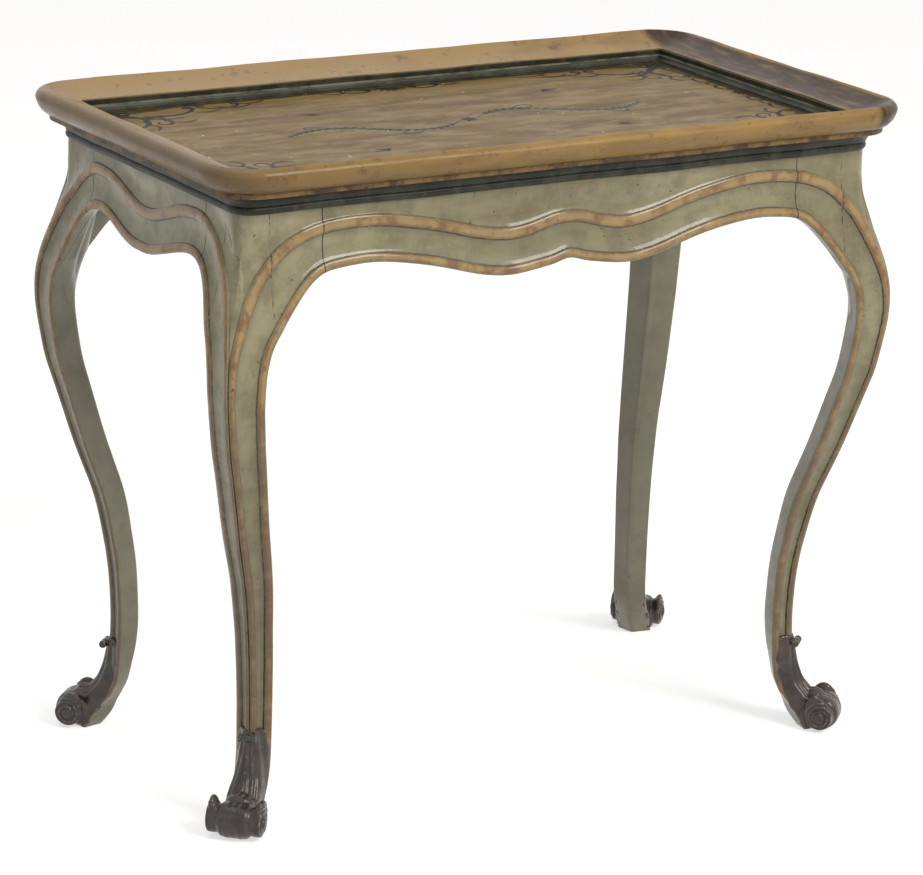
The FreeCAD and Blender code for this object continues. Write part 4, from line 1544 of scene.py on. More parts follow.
    @staticmethod
    def _dress(parts: List[Mesh], node: str, material: Material, slot: str, angle: float) -> None:
        """Welds the parts of one piece, without the caps where they meet, and dresses it.

        Args:
            parts: Meshes of the piece.
            node: The model's node that it stands for.
            material: Its material.
            slot: Name of its material slot, passed on to dress.
            angle: Edges sharper than this many degrees stay sharp.
        """
        work = bmesh.new()
        for part in parts:
            work.from_mesh(part)
            bpy.data.meshes.remove(part)
        bmesh.ops.remove_doubles(work, verts=work.verts, dist=MERGE_DISTANCE)
        caps = [face for face in work.faces if len(face.verts) > 4 and len(parts) > 1]
        inside = [face for face in caps if all(len(edge.link_faces) > 2 for edge in face.edges)]
        bmesh.ops.delete(work, geom=inside, context="FACES_ONLY")
        bmesh.ops.recalc_face_normals(work, faces=work.faces)
        mesh = bpy.data.meshes.new(node)
        work.to_mesh(mesh)
        work.free()
        dress(finish_mesh(mesh, node + "_look", angle), material, slot, node)


class TableFrame:
    """The aprons, knee brackets and cabriole legs, with their carved beads."""

    back_share = 0.88
    swell_heights = (0.470, 0.530)
    inner_inset = 0.062
    low_thickness = 0.011
    chamfer_rise = 0.012
    chamfer_foot = 0.608
    post_foot_drop = 0.050
    long_bracket = 0.060
    short_bracket = 0.040
    seam = 0.0001
    sharp_angle = 42.0

    def __init__(self, leg: LegForm, bead: BeadForm) -> None:
        """Works out both kinds of side.

        Args:
            leg: Curves of the leg.
            bead: Sizes of the beads.
        """
        self.leg = leg
        self.long = CarvedSide(HALF_LENGTH, LONG_EDGE, LONG_CREST, leg, bead)
        self.short = CarvedSide(HALF_WIDTH, SHORT_EDGE, SHORT_CREST, leg, bead)

    def panel(self, side: Side) -> Mesh:
        """Builds one side's apron and brackets as one closed mesh, before it is cut.

        Args:
            side: The side.

        Returns:
            The mesh, whose underside rises to a chamfer behind the carved face.
        """
        drawing = self.long if side.half_side == HALF_LENGTH else self.short
        points, marks = drawing.sheet(0, drawing.panel_count)
        mirrored = points[::-1] * np.array([1.0, -1.0, 1.0])
        front = np.concatenate([mirrored[:-1], points])
        marks = np.concatenate([marks[::-1][:-1], marks])
        low = front[:, :1]
        back_low = low.copy()
        back_low[..., 0] = np.maximum(low[..., 0] - self.low_thickness, -self.inner_inset)
        back_high = front[:, -1:].copy()
        back_high[..., 0] = -self.inner_inset
        bend = back_high.copy()
        bend[..., 2] = np.maximum(low[..., 2] + self.chamfer_rise, self.chamfer_foot)
        under = [back_high + (bend - back_high) * 0.12, bend, back_low]
        under += [low + (back_low - low) * t for t in (0.96, 0.8, 0.6, 0.4, 0.2, 0.06)]
        ring = np.concatenate([back_high] + under + [front], axis=1)
        bare = np.broadcast_to(BARE_MARKS, (len(ring), 1, 3))
        plain = np.broadcast_to(PLAIN_MARKS, (len(ring), len(under), 3))
        draft = MeshDraft(*CARVED_MARKS)
        draft.add_tube(side.place(ring), np.concatenate([bare, plain, marks], axis=1), BARE_MARKS)
        return draft.mesh("apron_and_brackets")

    def build_sides(self, paint: Material) -> None:
        """Builds and dresses the aprons and brackets, each cut at its joints.

        Args:
            paint: Their material.
        """
        for side in Side:
            is_long = side.half_side == HALF_LENGTH
            post = side.half_side - POST_INSET
            joint = post - (self.long_bracket if is_long else self.short_bracket)
            name = side.name.lower()
            stretches = {"apron_" + name: (-joint + self.seam, joint - self.seam)}
            first_end = 1 if side in (Side.RIGHT, Side.FRONT) else -1
            for end, sign in zip(side.ends, (first_end, -first_end)):
                span = sorted((sign * (joint + self.seam), sign * (post - self.seam)))
                stretches["knee_bracket_" + name + "_" + end] = tuple(span)
            whole = self.panel(side)
            for node, (low, high) in stretches.items():
                mesh = whole.copy()
                cut_mesh(mesh, 0 if is_long else 1, low, high)
                dress(finish_mesh(mesh, node + "_look", self.sharp_angle), paint, "frame_wood", node)
            bpy.data.meshes.remove(whole)

    def leg_piece(self, corner: Corner) -> Object:
        """Builds one leg: two carved outer faces, a rounded back and the post that holds the brackets.

        Args:
            corner: Where it stands.

        Returns:
            The finished leg.
        """
        draft = MeshDraft(*CARVED_MARKS)
        faces = []
        for drawing, swapped in ((self.short, False), (self.long, True)):
            points, marks = drawing.sheet(drawing.panel_count - 1, len(drawing.places))
            points = points - np.array([0.0, drawing.half_side, 0.0])
            points[..., 2] = np.maximum(points[..., 2], 0.0)
            faces.append(points[..., [1, 0, 2]] if swapped else points)
            draft.add_grid(corner.place(faces[-1]), marks)
        z = faces[0][:, 0, 2]
        back = -(self.leg.inset(z) + self.leg.back(z))
        spine = np.stack([back, back, z], axis=-1)
        one, two = (self._rear_rows(face[:, 0], spine, axis) for axis, face in enumerate(faces))
        inner = spine * 0.5 + (one[-1] + two[-1]) * 0.25
        middle = [inner * 0.75 + one[-1] * 0.25, inner, inner * 0.75 + two[-1] * 0.25]
        rear = np.stack(one + middle + two[::-1], axis=1)
        draft.add_grid(corner.place(rear), PLAIN_MARKS)
        post = np.array([[-POST_INSET, -POST_INSET, FRAME_HEIGHT]])
        sides = (rear[0, : len(one) + 2], rear[0, : len(one) : -1])
        for points, side_rows in zip(faces, sides):
            self._add_post_side(draft, corner, points[0], post, side_rows)
        tops = [face[: self._top_count(drawing), -1] for face, drawing in zip(faces, (self.short, self.long))]
        draft.add_polygon(corner.place(np.concatenate([tops[0], tops[1][::-1][1:], post])), BARE_MARKS)
        sole = np.concatenate([faces[0][-1], faces[1][-1][::-1][1:], rear[-1][::-1][1:-1]])
        draft.add_polygon(corner.place(sole), BARE_MARKS)
        return finish_mesh(draft.mesh("leg"), "leg_" + corner.label + "_look", self.sharp_angle)

    def _add_post_side(self, draft: MeshDraft, corner: Corner, face: Array, post: Array, rows: Array) -> None:
        """Closes the flat side of the post, where a bracket joins, with a chamfer below it.

        Args:
            draft: The leg's mesh.
            corner: Where the leg stands.
            face: The carved face's first station.
            post: The post's inner corner at the top.
            rows: The back's first station, from the face to the middle.
        """
        foot = post - np.array([0.0, 0.0, self.post_foot_drop])
        draft.add_polygon(corner.place(np.concatenate([face, post, foot, rows[3:0:-1]])), PLAIN_MARKS)
        for low, high in zip(rows[3:-1], rows[4:]):
            draft.add_polygon(corner.place(np.stack([foot[0], high, low])), PLAIN_MARKS)

    def _rear_rows(self, edge: Array, spine: Array, axis: int) -> List[Array]:
        """Runs rows from a face's inner edge to the back arris, swollen where the bracket's underside joins.

        Args:
            edge: The face's inner edge, by station.
            spine: The back arris, by station.
            axis: Which axis crosses the face: 0 or 1.

        Returns:
            The rows from the edge towards the arris.
        """
        flush = 0.6 * smoothstep(*self.swell_heights, edge[:, 2])[:, None]
        square = edge.copy()
        square[:, axis] = spine[:, axis]
        first, second = (2 * edge + spine) / 3, (edge + 2 * spine) / 3
        first, second = first + (square - first) * flush, second + (square - second) * flush
        rows = []
        for t in (0.0, 0.03, 0.2, 0.4, 0.6, 0.78, self.back_share):
            row = edge * (1 - t) ** 3 + first * (3 * t * (1 - t) ** 2)
            rows.append(row + second * (3 * t**2 * (1 - t)) + spine * t**3)
        return rows

    @staticmethod
    def _top_count(drawing: CarvedSide) -> int:
        """Number of stations whose outer border is the top edge."""
        rim = drawing.rim[drawing.panel_count - 1 :]
        return int(np.sum(rim[:, 1] >= FRAME_HEIGHT - 1e-7))

    def build_legs(self, paint: Material) -> None:
        """Builds and dresses the four legs."""
        for corner in Corner:
            dress(self.leg_piece(corner), paint, "frame_wood", "leg_" + corner.label)


@dataclass(frozen=True)
class ScrollToe:
    """A carved toe: a roll with a small volute at each end, and a leaf that climbs the leg's arris.

    It is drawn out along the corner's diagonal, sideways across it and up.
    """

    roll_inset: float = 0.0468
    roll_height: float = 0.0190
    leaf_top: float = 0.104
    leaf_thickness: float = 0.0044
    leaf_round: float = 0.006
    curl_inset: float = 0.0712
    curl_height: float = 0.0965
    grain: float = 0.0007
    ear_angle: float = 112.0
    ear_rise: float = 0.60
    spiral_pitch: float = 0.0046
    spiral_depth: float = 0.0011
    flute_pitch: float = 0.0074
    flute_depth: float = 0.0004
    vein_pitch: float = 0.0088
    vein_lean: float = 0.040
    vein_depth: float = 0.0013
    midrib_height: float = 0.0006
    midrib_width: float = 0.0016
    volute_aside: Pair = (0.0215, 0.0240)
    volute_core: Pair = (0.0040, 0.0058)
    volute_edge: Pair = (0.021, 0.017)
    roll_aside: Pair = (0.0160, 0.0135)
    roll_core: Pair = (0.0165, 0.0195)
    roll_edge: Pair = (0.026, 0.0235)
    leaf_foot: Pair = (0.024, 0.034)
    leaf_side: Pair = (0.0225, 0.026)
    leaf_tip: Pair = (0.105, 0.095)
    vein_start: Pair = (0.0015, 0.005)
    sharp_angle: float = 50.0
    roll_profile: Tuple[Pair, ...] = (
        (0.0, 0.0192), (0.006, 0.0195), (0.011, 0.0192), (0.0138, 0.0184), (0.0154, 0.0172), (0.0168, 0.0158),
        (0.0180, 0.0150), (0.0192, 0.0148), (0.0210, 0.0150), (0.0238, 0.0156), (0.0266, 0.0158),
        (0.0290, 0.0148), (0.0306, 0.0122), (0.0312, 0.0088), (0.0313, 0.0056), (0.0323, 0.0048),
        (0.0330, 0.0022),
    )
    curl_profile: Tuple[Pair, ...] = (
        (0.0, 0.0040), (0.006, 0.0040), (0.0098, 0.0045), (0.0112, 0.0036), (0.0116, 0.0012),
    )
    leaf_widths: Tuple[Pair, ...] = (
        (0.004, 0.0262), (0.016, 0.0268), (0.034, 0.0264), (0.050, 0.0250), (0.066, 0.0242), (0.080, 0.0238),
        (0.092, 0.0222), (0.099, 0.0192), (0.104, 0.0140),
    )
    leaf_swell: Tuple[Pair, ...] = (
        (0.004, 0.0050), (0.020, 0.0110), (0.036, 0.0140), (0.044, 0.0120), (0.056, 0.0082), (0.072, 0.0048),
        (0.090, 0.0018), (0.104, 0.0),
    )
    lobes: Tuple[Tuple[Triple, Triple], ...] = (
        ((-0.0780, -0.0145, 0.0160), (0.0140, 0.0095, 0.0156)),
        ((-0.0780, 0.0145, 0.0160), (0.0140, 0.0095, 0.0156)),
        ((-0.0775, 0.0, 0.0330), (0.0130, 0.0160, 0.0120)),
    )

    @property
    def roll_out(self) -> float:
        """The roll's axis along the diagonal."""
        return -ROOT_TWO * self.roll_inset

    @staticmethod
    def turned(out: Array, aside: Array, z: Array) -> Array:
        """Turns places along the diagonal, across it and up into the corner's x, y and z."""
        return np.stack([(out + aside) / ROOT_TWO, (out - aside) / ROOT_TWO, z], axis=-1)

    def _spindle(
        self, draft: MeshDraft, profile: Sequence[Pair], out: float, height: float, peak: float
    ) -> None:
        """Adds a turned body whose axis lies across the diagonal.

        Args:
            draft: Where it goes.
            profile: Half of its length and its radii.
            out: Place of the axis along the diagonal.
            height: Height of the axis.
            peak: How much its ends rise to a point at the top, as a share of the radius.
        """
        half = np.array(profile)
        line = np.concatenate([half[::-1] * (-1, 1), half[1:]])
        angle = np.linspace(0.0, 2 * math.pi, 64, endpoint=False)
        top = np.clip(np.cos(angle - math.radians(self.ear_angle)), 0.0, 1.0) ** 4
        grow = 1.0 + peak * top[None, :] * smoothstep(0.017, 0.028, np.abs(line[:, :1]))
        radius = line[:, 1:] * grow
        aside = np.broadcast_to(line[:, :1], radius.shape)
        points = self.turned(out + radius * np.cos(angle), aside, height + radius * np.sin(angle))
        draft.add_tube(points, np.zeros(1), np.zeros(1))

    def _leaf(self, draft: MeshDraft, leg: LegForm) -> None:
        """Adds the leaf that wraps both faces beside the arris.

        Args:
            draft: Where it goes.
            leg: Curves of the leg, which it follows.
        """
        heights, widths = zip(*self.leaf_widths)
        z = np.linspace(heights[0], self.leaf_top, 84)[:, None]
        width = np.interp(z, heights, widths) + 0.0008 * np.sin(z * (2 * math.pi / 0.019))
        share = np.linspace(-1.0, 1.0, 37)[None, :]
        away = np.abs(share) * width
        turn = np.clip(1.0 - away / self.leaf_round, 0.0, 1.0) * (math.pi / 4)
        inset = leg.inset(z)
        straight = away >= self.leaf_round
        near = np.where(straight, -inset, -inset - self.leaf_round * (1 - np.cos(turn)))
        far = np.where(straight, -inset - away, -inset - self.leaf_round * (1 - np.sin(turn)))
        thick = self.leaf_thickness * (1.0 - 0.5 * share**2)
        thick = thick + np.interp(z, *zip(*self.leaf_swell)) * (1.0 - share**2) ** 1.5
        shells = []
        for depth in (thick, -0.003 * np.ones_like(share)):
            one, two = near + np.cos(turn) * depth, far + np.sin(turn) * depth
            x, y = np.where(share > 0, one, two), np.where(share > 0, two, one)
            shells.append(np.stack([x, y, np.broadcast_to(z, x.shape)], axis=-1))
        ring = np.concatenate([shells[0], shells[1][:, ::-1]], axis=1)
        draft.add_tube(ring, np.zeros(1), np.zeros(1))

    def _lobe(self, draft: MeshDraft, centre: Triple, size: Triple) -> None:
        """Adds an egg-shaped body.

        Args:
            draft: Where it goes.
            centre: Its middle along the diagonal, across it and up.
            size: Half of its size along the same.
        """
        polar = np.linspace(0.06, math.pi - 0.06, 20)[:, None]
        angle = np.linspace(0.0, 2 * math.pi, 32, endpoint=False)[None, :]
        out = centre[0] + size[0] * np.sin(polar) * np.cos(angle)
        aside = centre[1] + size[1] * np.sin(polar) * np.sin(angle)
        z = centre[2] + size[2] * np.cos(polar) * np.ones_like(angle)
        points = self.turned(out, aside, z)
        draft.add_tube(points, np.zeros(1), np.zeros(1))

    def _one_skin(self, modifier: Modifier) -> None:
        """Sets a Remesh modifier to join overlapping bodies into one fine skin."""
        modifier.mode = "VOXEL"
        modifier.voxel_size = self.grain

    def _carve(self, skin: Mesh) -> Array:
        """Softens the skin and cuts the spirals, flutes and leaf veins into it.

        Args:
            skin: The blended bodies, whose points are softened in place.

        Returns:
            The carved points.
        """
        points = soften(mesh_points(skin), mesh_edges(skin))
        set_points(skin, points)
        skin.update()
        out = (points[:, 0] + points[:, 1]) / ROOT_TWO
        aside = np.abs(points[:, 0] - points[:, 1]) / ROOT_TWO
        z = points[:, 2]
        radius = np.hypot(out - self.roll_out, z - self.roll_height)
        angle = np.arctan2(z - self.roll_height, out - self.roll_out)
        on_volute = smoothstep(*self.volute_aside, aside) * smoothstep(*self.volute_core, radius)
        on_volute *= smoothstep(*self.volute_edge, radius)
        spiral = self._wave(radius / self.spiral_pitch + angle / (2 * math.pi))
        depth = -self.spiral_depth * on_volute * spiral
        on_roll = smoothstep(*self.roll_aside, aside) * smoothstep(*self.roll_core, radius)
        on_roll *= smoothstep(*self.roll_edge, radius)
        depth -= self.flute_depth * on_roll * self._wave(aside / self.flute_pitch)
        from_arris = aside * ROOT_TWO
        on_leaf = smoothstep(*self.leaf_foot, z) * smoothstep(*self.leaf_side, radius)
        on_leaf *= smoothstep(*self.leaf_tip, z)
        vein = self._wave(from_arris / self.vein_pitch + (z - 0.03) / self.vein_lean)
        depth -= self.vein_depth * on_leaf * vein * smoothstep(*self.vein_start, from_arris)
        depth += self.midrib_height * on_leaf * np.exp(-((from_arris / self.midrib_width) ** 2))
        points = points + mesh_normals(skin) * depth[:, None]
        points[:, 2] = np.maximum(points[:, 2], 0.0)
        return points

    @staticmethod
    def _wave(turns: Array) -> Array:
        """Rises from 0 to 1 and falls back with each whole turn."""
        return 0.5 - 0.5 * np.cos(2 * math.pi * turns)

    def build(self, leg: LegForm, paint: Material) -> None:
        """Carves one toe and sets a copy under each leg.

        Args:
            leg: Curves of the leg.
            paint: Material of the toes.
        """
        draft = MeshDraft("bare_wood")
        curl_out = -ROOT_TWO * self.curl_inset
        self._spindle(draft, self.roll_profile, self.roll_out, self.roll_height, self.ear_rise)
        self._spindle(draft, self.curl_profile, curl_out, self.curl_height, 0.0)
        self._leaf(draft, leg)
        for centre, size in self.lobes:
            self._lobe(draft, centre, size)
        skin = modified(draft.mesh("toe_bodies"), "REMESH", self._one_skin)
        points = self._carve(skin)
        for corner in Corner:
            copy = skin.copy()
            set_points(copy, corner.place(points))
            if corner.value[0] * corner.value[1] < 0:
                copy.flip_normals()
            node = "toe_" + corner.label
            dress(finish_mesh(copy, node + "_look", self.sharp_angle), paint, "toe_wood", node)
        bpy.data.meshes.remove(skin)


class TrayOrnament:
    """Brush strokes of the painted border and sprigs, as distances from the strokes on the tray's floor.

    Strokes are drawn in millimetres. Those of a corner or a side are drawn inwards from it.
    """

    half_floor = (362.6, 182.6)
    far = 6.0
    brush = 2.0
    stem = ((12, 3), (50, 24), (98, 18), (142, -8), (186, -14), (222, 4))
    leaf_pairs = 24
    # The washed border: its depth, its swell and reach at corners, sides and ends, and its ripple.
    border_depth = 8.0
    corner_swell = (26.0, 62.0)
    side_swell = (9.0, 34.0)
    end_swell = (6.0, 26.0)
    end_zone = 60
    ripple = 1.4
    # Small strokes of a corner along its long side, along its short side, and its trellis.
    long_flicks = (
        ((34, 28), (50, 38), (70, 38)), ((46, 24), (64, 30), (82, 26)), ((84, 22), (100, 28), (116, 23)),
        ((52, 46), (64, 52), (76, 48)), ((116, 14), (134, 20), (152, 14)), ((140, 8), (156, 11), (170, 6)),
    )
    short_flicks = (
        ((32, 30), (46, 40), (60, 38)), ((66, 20), (80, 26), (94, 20)), ((84, 10), (98, 13), (112, 7)),
    )
    trellis = (((4, 4), (13, 13), (22, 22)), ((14, 3), (20, 9), (27, 16)), ((18, 4), (11, 11), (4, 18)))
    corner_hook = ((30, 52), (30, 40), (42, 34), (52, 44), (46, 54), (38, 50), (42, 44))
    tendrils = (
        ((70, 25), (84, 38), (98, 38), (98, 30), (91, 31)),
        ((160, -13), (172, -27), (186, -28), (187, -20), (180, -20)),
    )

    def __init__(self) -> None:
        """Draws every stroke."""
        self.strokes: List[Stroke] = []
        self.glows: List[Stroke] = []
        self._corners()
        self._middles()
        self._sprigs()

    @staticmethod
    def _curl(centre: Pair, radius: float, start: float, turn: float) -> List[Pair]:
        """Draws a spiral that winds in.

        Args:
            centre: Its middle.
            radius: Its first radius.
            start: Angle in degrees at which it starts.
            turn: How many turns it makes.

        Returns:
            Its points.
        """
        steps = np.linspace(0.0, 1.0, 14)
        angles = math.radians(start) + 2 * math.pi * turn * steps
        radii = radius * (1.0 - 0.82 * steps**0.8)
        return [(centre[0] + r * math.cos(a), centre[1] + r * math.sin(a)) for r, a in zip(radii, angles)]

    def _scroll(self, first: Triple, middle: Pair, last: Triple) -> List[Pair]:
        """Draws a C-shaped scroll.

        Args:
            first: Middle and radius of the curl at its start.
            middle: The point between the curls.
            last: Middle and radius of the curl at its end.

        Returns:
            Its points.
        """
        one = self._curl(first[:2], first[2], 120.0, 1.15)
        two = self._curl(last[:2], last[2], 60.0, -1.15)
        return one[::-1] + [middle] + two

    @staticmethod
    def _petal(root: Pair, bow: float, reach: float, angle: float, lean: float) -> Tuple[Pair, Pair, Pair]:
        """Draws a short bowed ray.

        Args:
            root: Where it starts.
            bow: Distance of its middle point.
            reach: Distance of its tip.
            angle: The tip's direction in radians.
            lean: How much further the middle point is turned.

        Returns:
            Its three points.
        """
        x, y = root
        middle = (x + bow * math.cos(angle + lean), y + bow * math.sin(angle + lean))
        return root, middle, (x + reach * math.cos(angle), y + reach * math.sin(angle))

    def _brush(self, points: Sequence[Pair], width: float, place: Placing, glow: bool = False) -> None:
        """Adds a stroke, thin at both ends.

        Args:
            points: Points that it passes through.
            width: Half of its width before the brush's share.
            place: Brings its points to their place on the floor.
            glow: Whether a lighter stroke lies beside it.
        """
        path = by_length(SmoothLine(points, 500).points, max(8, int(len(points) * 5)))
        swell = np.sin(np.linspace(0.0, math.pi, len(path))) ** 0.5
        widths = self.brush * width * (0.35 + 0.65 * swell)
        self.strokes.append((place(path), widths))
        if glow:
            self.glows.append((place(path + np.array([1.4, 1.9])), widths * 0.9))

    def _in_corner(self, sx: int, sy: int, stretch: Pair, turned: bool) -> Placing:
        """Places strokes in a corner.

        Args:
            sx: The corner's sign along the table.
            sy: The corner's sign across the table.
            stretch: Scale of the strokes along and across the table.
            turned: Whether they run along the short side.

        Returns:
            The placing.
        """
        signs, order = np.array([sx, sy]), [1, 0] if turned else [0, 1]
        return lambda path: signs * (self.half_floor - np.array(stretch) * path[:, order])

    def _at_side(self, sign: int, on_short: bool, way: int = 1) -> Placing:
        """Places strokes at the middle of a side.

        Args:
            sign: The side's sign.
            on_short: Whether it is a short side.
            way: -1 to mirror the strokes along the side.

        Returns:
            The placing.
        """
        length, width = self.half_floor
        if on_short:
            return lambda path: np.stack([sign * (length - path[:, 1]), way * path[:, 0]], axis=-1)
        return lambda path: np.stack([way * path[:, 0], sign * (width - path[:, 1])], axis=-1)

    def _corners(self) -> None:
        """Paints scrolls, leaf flicks and a small trellis in each corner."""
        for sx in (-1, 1):
            for sy in (-1, 1):
                place = self._in_corner(sx, sy, (1.2, 1.5), False)
                swapped = self._in_corner(sx, sy, (1.5, 1.1), True)
                self._brush(self._scroll((26, 13, 8), (55, 30), (88, 12, 6)), 1.5, place, glow=True)
                self._brush(self._scroll((28, 13, 7), (50, 27), (74, 11, 5)), 1.4, swapped, glow=True)
                self._brush(self._scroll((104, 10, 5), (120, 19), (138, 9, 4)), 1.1, place)
                self._brush(self.corner_hook, 1.2, place, glow=True)
                for flick in self.long_flicks:
                    self._brush(flick, 1.1, place)
                for flick in self.short_flicks:
                    self._brush(flick, 1.1, swapped)
                for run in self.trellis:
                    self._brush(run, 0.5, place)
                    self._brush(run, 0.5, swapped)

    def _middles(self) -> None:
        """Paints a small shell with a scroll at each side of it, in the middle of each side."""
        for sign in (-1, 1):
            for on_short, size in ((False, 1.0), (True, 0.75)):
                place = self._at_side(sign, on_short)
                for ray in np.radians(np.linspace(18, 162, 7)):
                    self._brush(self._petal((0, 4), size * 11, size * 21, ray, 0.12), 1.1, place, glow=True)
                scroll = [(size * x, y) for x, y in self._scroll((31, 9, 5), (44, 19), (58, 8, 4))]
                edge = self.half_floor[1 if on_short else 0] - 4
                for way in (-1, 1):
                    beside = self._at_side(sign, on_short, way)
                    self._brush(scroll, 1.1, beside, glow=True)
                    self._brush(((size * 58, 13), (size * 72, 17), (size * 86, 11)), 0.9, beside)
                    self._brush(((4, 3.4), (edge / 2, 3.4), (edge, 3.4)), 0.55, beside)

    def _sprigs(self) -> None:
        """Paints two leafy sprigs that sweep out from a rosette in the middle, and four small sprays."""
        path = by_length(SmoothLine(self.stem, 600).points, self.leaf_pairs + 1)
        heading = unit_heading(path)
        for place in (lambda drawn: drawn * -1.0, lambda drawn: drawn):
            self._brush(self.stem, 0.9, place)
            for index in range(2, self.leaf_pairs):
                size = 8.5 * (0.55 + 0.45 * math.sin(math.pi * index / self.leaf_pairs))
                ahead = heading[index]
                for way in (-1, 1):
                    lean = math.radians(38.0 * way)
                    turn = np.array([[math.cos(lean), math.sin(lean)], [-math.sin(lean), math.cos(lean)]])
                    step = ahead @ turn * size
                    root = path[index] + ahead * (2.0 if way > 0 else -1.5)
                    middle, tip = root + step * 0.5 + ahead * 0.8, root + step + ahead * 2.2
                    self._brush((root, middle, tip), 0.9, place)
            for tendril in self.tendrils:
                self._brush(tendril, 0.7, place)
            for cx, cy, lean in ((150, 92, 20), (-138, 84, 160)):
                for angle, size in ((lean, 24), (lean + 28, 15), (lean - 28, 15)):
                    ray = math.radians(angle)
                    self._brush(self._petal((cx, cy), size * 0.5, size, ray, 0.15), 1.0, place)
        for ray in np.radians(np.arange(0, 360, 60)):
            self._brush(self._petal((0, 0), 4.5, 9, ray, 0.2), 1.2, lambda drawn: drawn)

    def _nearest(self, strokes: List[Stroke], x: Array, y: Array) -> Array:
        """Measures the distance from the painted edge of the nearest stroke.

        Args:
            strokes: The strokes.
            x: Places along the table.
            y: Places across the table.

        Returns:
            The distances, below zero inside a stroke.
        """
        found = np.full(x.shape, self.far)
        for path, widths in strokes:
            low, high = path.min(axis=0) - self.far, path.max(axis=0) + self.far
            inside = np.nonzero((x > low[0]) & (x < high[0]) & (y > low[1]) & (y < high[1]))[0]
            if not len(inside):
                continue
            spot = np.stack([x[inside], y[inside]], axis=-1)[:, None]
            start, step = path[:-1], np.diff(path, axis=0)
            reach = np.maximum((step**2).sum(axis=1), 1e-9)
            along = np.clip(((spot - start) * step).sum(axis=-1) / reach, 0.0, 1.0)
            gap = np.linalg.norm(spot - start - along[..., None] * step, axis=-1)
            gap -= widths[:-1] + (widths[1:] - widths[:-1]) * along
            found[inside] = np.minimum(found[inside], gap.min(axis=1))
        return found

    @staticmethod
    def _swell(away: Array, height: float, reach: float) -> Array:
        """Gives a bell of some height that falls off with the distance."""
        return height * np.exp(-((away / reach) ** 2))

    def marks(self, points: Array) -> Array:
        """Works out the paint's numbers at points of the tray's floor.

        Args:
            points: Points in metres.

        Returns:
            Distances from ink, from light strokes and from the washed border, in millimetres.
        """
        flat = points.reshape(-1, 3) * 1000.0
        x, y = flat[:, 0], flat[:, 1]
        a, b = self.half_floor[0] - np.abs(x), self.half_floor[1] - np.abs(y)
        depth = self.border_depth + self._swell(np.hypot(a, b), *self.corner_swell)
        depth += self._swell(x, *self.side_swell)
        at_end = self._swell(y, *self.end_swell) * (a < self.end_zone)
        depth += at_end + self.ripple * np.sin(x / 8.0) + self.ripple * np.sin(y / 7.0)
        border = np.minimum(a, b) - depth
        found = [self._nearest(self.strokes, x, y), self._nearest(self.glows, x, y), border]
        return np.stack(found, axis=-1).reshape(points.shape)


@dataclass(frozen=True)
class TrayBoards:
    """The three boards of the top, side by side."""

    half_length: float = 0.380
    half_width: float = 0.200
    thickness: float = 0.020
    joint: float = 0.00008
    cell: float = 0.0013
    plain_gap: float = 50.0
    sharp_angle: float = 35.0

    def build(self, ornament: TrayOrnament, paint: Material) -> None:
        """Builds and dresses the boards.

        Args:
            ornament: The painted strokes.
            paint: Material of the boards.
        """
        width = 2 * self.half_width / 3
        for index, name in enumerate(("front", "middle", "back")):
            low = -self.half_width + width * index + (self.joint if index else 0.0)
            high = -self.half_width + width * (index + 1) - (self.joint if index < 2 else 0.0)
            x = np.linspace(-self.half_length, self.half_length, int(2 * self.half_length / self.cell))
            y = np.linspace(low, high, int(width / self.cell))
            top = np.stack(np.broadcast_arrays(x[:, None], y[None, :], SEAT_HEIGHT), axis=-1)
            under = top[:, [-1, 0]] - np.array([0.0, 0.0, self.thickness])
            ring = np.concatenate([top, under], axis=1)
            draft = MeshDraft("ink_gap", "glow_gap", "border_gap")
            marks = np.concatenate([ornament.marks(top), np.full(under.shape, self.plain_gap)], axis=1)
            draft.add_tube(ring, marks, np.full(3, self.plain_gap))
            node = "top_board_" + name
            piece = finish_mesh(draft.mesh("board"), node + "_look", self.sharp_angle)
            dress(piece, paint, "board_wood", node)


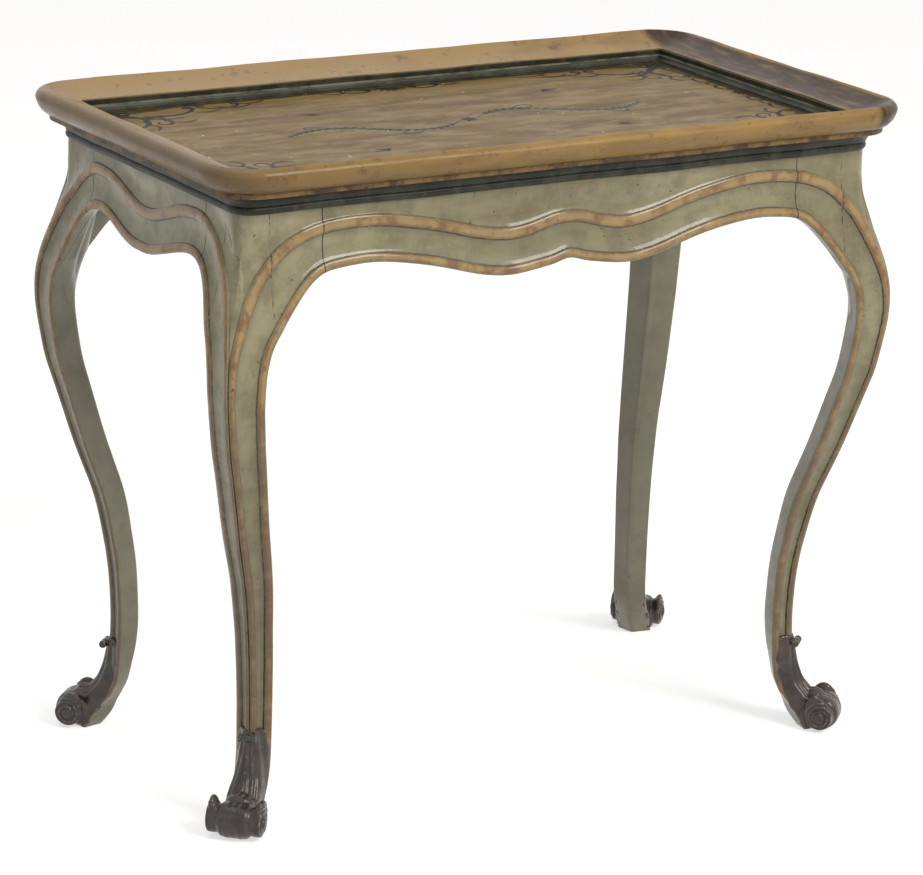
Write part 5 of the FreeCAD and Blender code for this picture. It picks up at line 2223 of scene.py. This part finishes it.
@dataclass(frozen=True)
class Studio:
    """Camera, pale floor and soft plain lights."""

    azimuth: float = -31.00
    elevation: float = 16.54
    roll: float = 1.68
    distance: float = 4.0309
    target: Triple = (-0.2640, -0.4437, 0.4877)
    lens: float = 161.93
    floor_reach: float = 30.0
    floor_glow: float = 0.60
    fill_strength: float = 0.36

    def camera(self) -> None:
        """Places the camera at the photograph's viewing angle."""
        azimuth, elevation = math.radians(self.azimuth), math.radians(self.elevation)
        level = math.cos(elevation)
        back = Vector((math.sin(azimuth) * level, -math.cos(azimuth) * level, math.sin(elevation)))
        data = bpy.data.cameras.new("camera")
        data.lens = self.lens
        data.sensor_width = 36.0
        data.sensor_fit = "HORIZONTAL"
        data.clip_end = 60.0
        camera = add_object("camera", data)
        turn = (-back).to_track_quat("-Z", "Y").to_matrix().to_4x4()
        turn = turn @ Matrix.Rotation(math.radians(self.roll), 4, "Z")
        camera.matrix_world = Matrix.Translation(Vector(self.target) + back * self.distance) @ turn
        bpy.context.scene.camera = camera

    def light(self, name: str, place: Triple, size: float, power: float, colour: Colour) -> None:
        """Adds a soft square lamp that faces the table's middle.

        Args:
            name: Name of the lamp.
            place: Where it hangs.
            size: Length of its sides.
            power: Its power in watts.
            colour: Its colour.
        """
        data = bpy.data.lights.new(name, "AREA")
        data.shape = "SQUARE"
        data.size = size
        data.energy = power
        data.color = colour
        lamp = add_object(name, data)
        lamp.location = place
        lamp.rotation_euler = (Vector((0, 0, 0.4)) - Vector(place)).to_track_quat("-Z", "Y").to_euler()

    @staticmethod
    def _seen(tree: Tree) -> Socket:
        """Tells whether a ray comes from the camera, straight, off gloss or through glass.

        Args:
            tree: The tree that gets the nodes.

        Returns:
            1 or more where it does, and 0 where it lights the object.
        """
        rays = tree.nodes.new("ShaderNodeLightPath").outputs
        direct = add_node(tree, "ShaderNodeMath", {0: rays["Is Camera Ray"], 1: rays["Is Glossy Ray"]})
        both = {0: direct, 1: rays["Is Transmission Ray"]}
        return add_node(tree, "ShaderNodeMath", both, use_clamp=True).outputs[0]

    def floor(self) -> None:
        """Lays the pale floor."""
        mesh = bpy.data.meshes.new("studio_floor")
        reach = self.floor_reach
        corners = [(x * reach, y * reach, 0) for x, y in ((-1, -1), (1, -1), (1, 1), (-1, 1))]
        mesh.from_pydata(corners, [], [(0, 1, 2, 3)])
        s = Shade("studio_floor")
        feed(s.tree, s.shader.inputs["Emission Color"], (1, 1, 1))
        feed(s.tree, s.shader.inputs["Emission Strength"], s.times(self._seen(s.tree), self.floor_glow))
        mesh.materials.append(s.finish((0.80, 0.80, 0.80), 0.9, specular=0.1))
        add_object("studio_floor", mesh)

    def world(self) -> None:
        """Sets a plain surround: white where it is seen, and a gentle warm fill for the object."""
        world = bpy.data.worlds.new("surround")
        bpy.context.scene.world = world
        world.use_nodes = True
        tree = world.node_tree
        tree.nodes.clear()
        warm = {"Color": (1.0, 0.98, 0.94), "Strength": self.fill_strength}
        fill = add_node(tree, "ShaderNodeBackground", warm)
        white = add_node(tree, "ShaderNodeBackground", {"Color": (1, 1, 1), "Strength": 1.0})
        mix = add_node(tree, "ShaderNodeMixShader", {0: self._seen(tree), 1: fill, 2: white})
        add_node(tree, "ShaderNodeOutputWorld", {0: mix})

    def build(self) -> None:
        """Sets up the whole studio."""
        self.camera()
        self.floor()
        self.world()
        self.light("key", (1.2, -3.2, 3.0), 1.6, 94.0, (1.0, 0.97, 0.92))
        self.light("top", (-0.4, 0.2, 3.6), 2.2, 24.0, (1.0, 0.98, 0.95))
        self.light("left_fill", (-3.0, -1.0, 1.6), 1.8, 2.0, (0.97, 0.98, 1.0))
        bpy.context.scene.view_settings.view_transform = "Standard"


def main() -> None:
    """Builds the table piece by piece and reports each one."""
    logging.basicConfig(level=logging.INFO, format="%(message)s")
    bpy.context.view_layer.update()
    frame_paint, rim_paint = FramePaint().material(), RimPaint().material()
    moulding_paint, tray_paint = MouldingPaint().material(), TrayPaint().material()
    toe_paint, bare = ToePaint().material(), BareWood().material()
    table = TableFrame(LegForm(), BeadForm())
    table.build_sides(frame_paint)
    table.build_legs(frame_paint)
    ScrollToe().build(table.leg, toe_paint)
    TrayTop().build(MouldingSweep(), rim_paint, moulding_paint)
    TrayBoards().build(TrayOrnament(), tray_paint)
    for name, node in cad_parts.items():
        if name.startswith(("glue_block", "tenon_pegs", "bracket_dowels")):
            node.data.materials.clear()
            node.data.materials.append(bare)
    Studio().build()


if __name__ == "__main__":
    main()
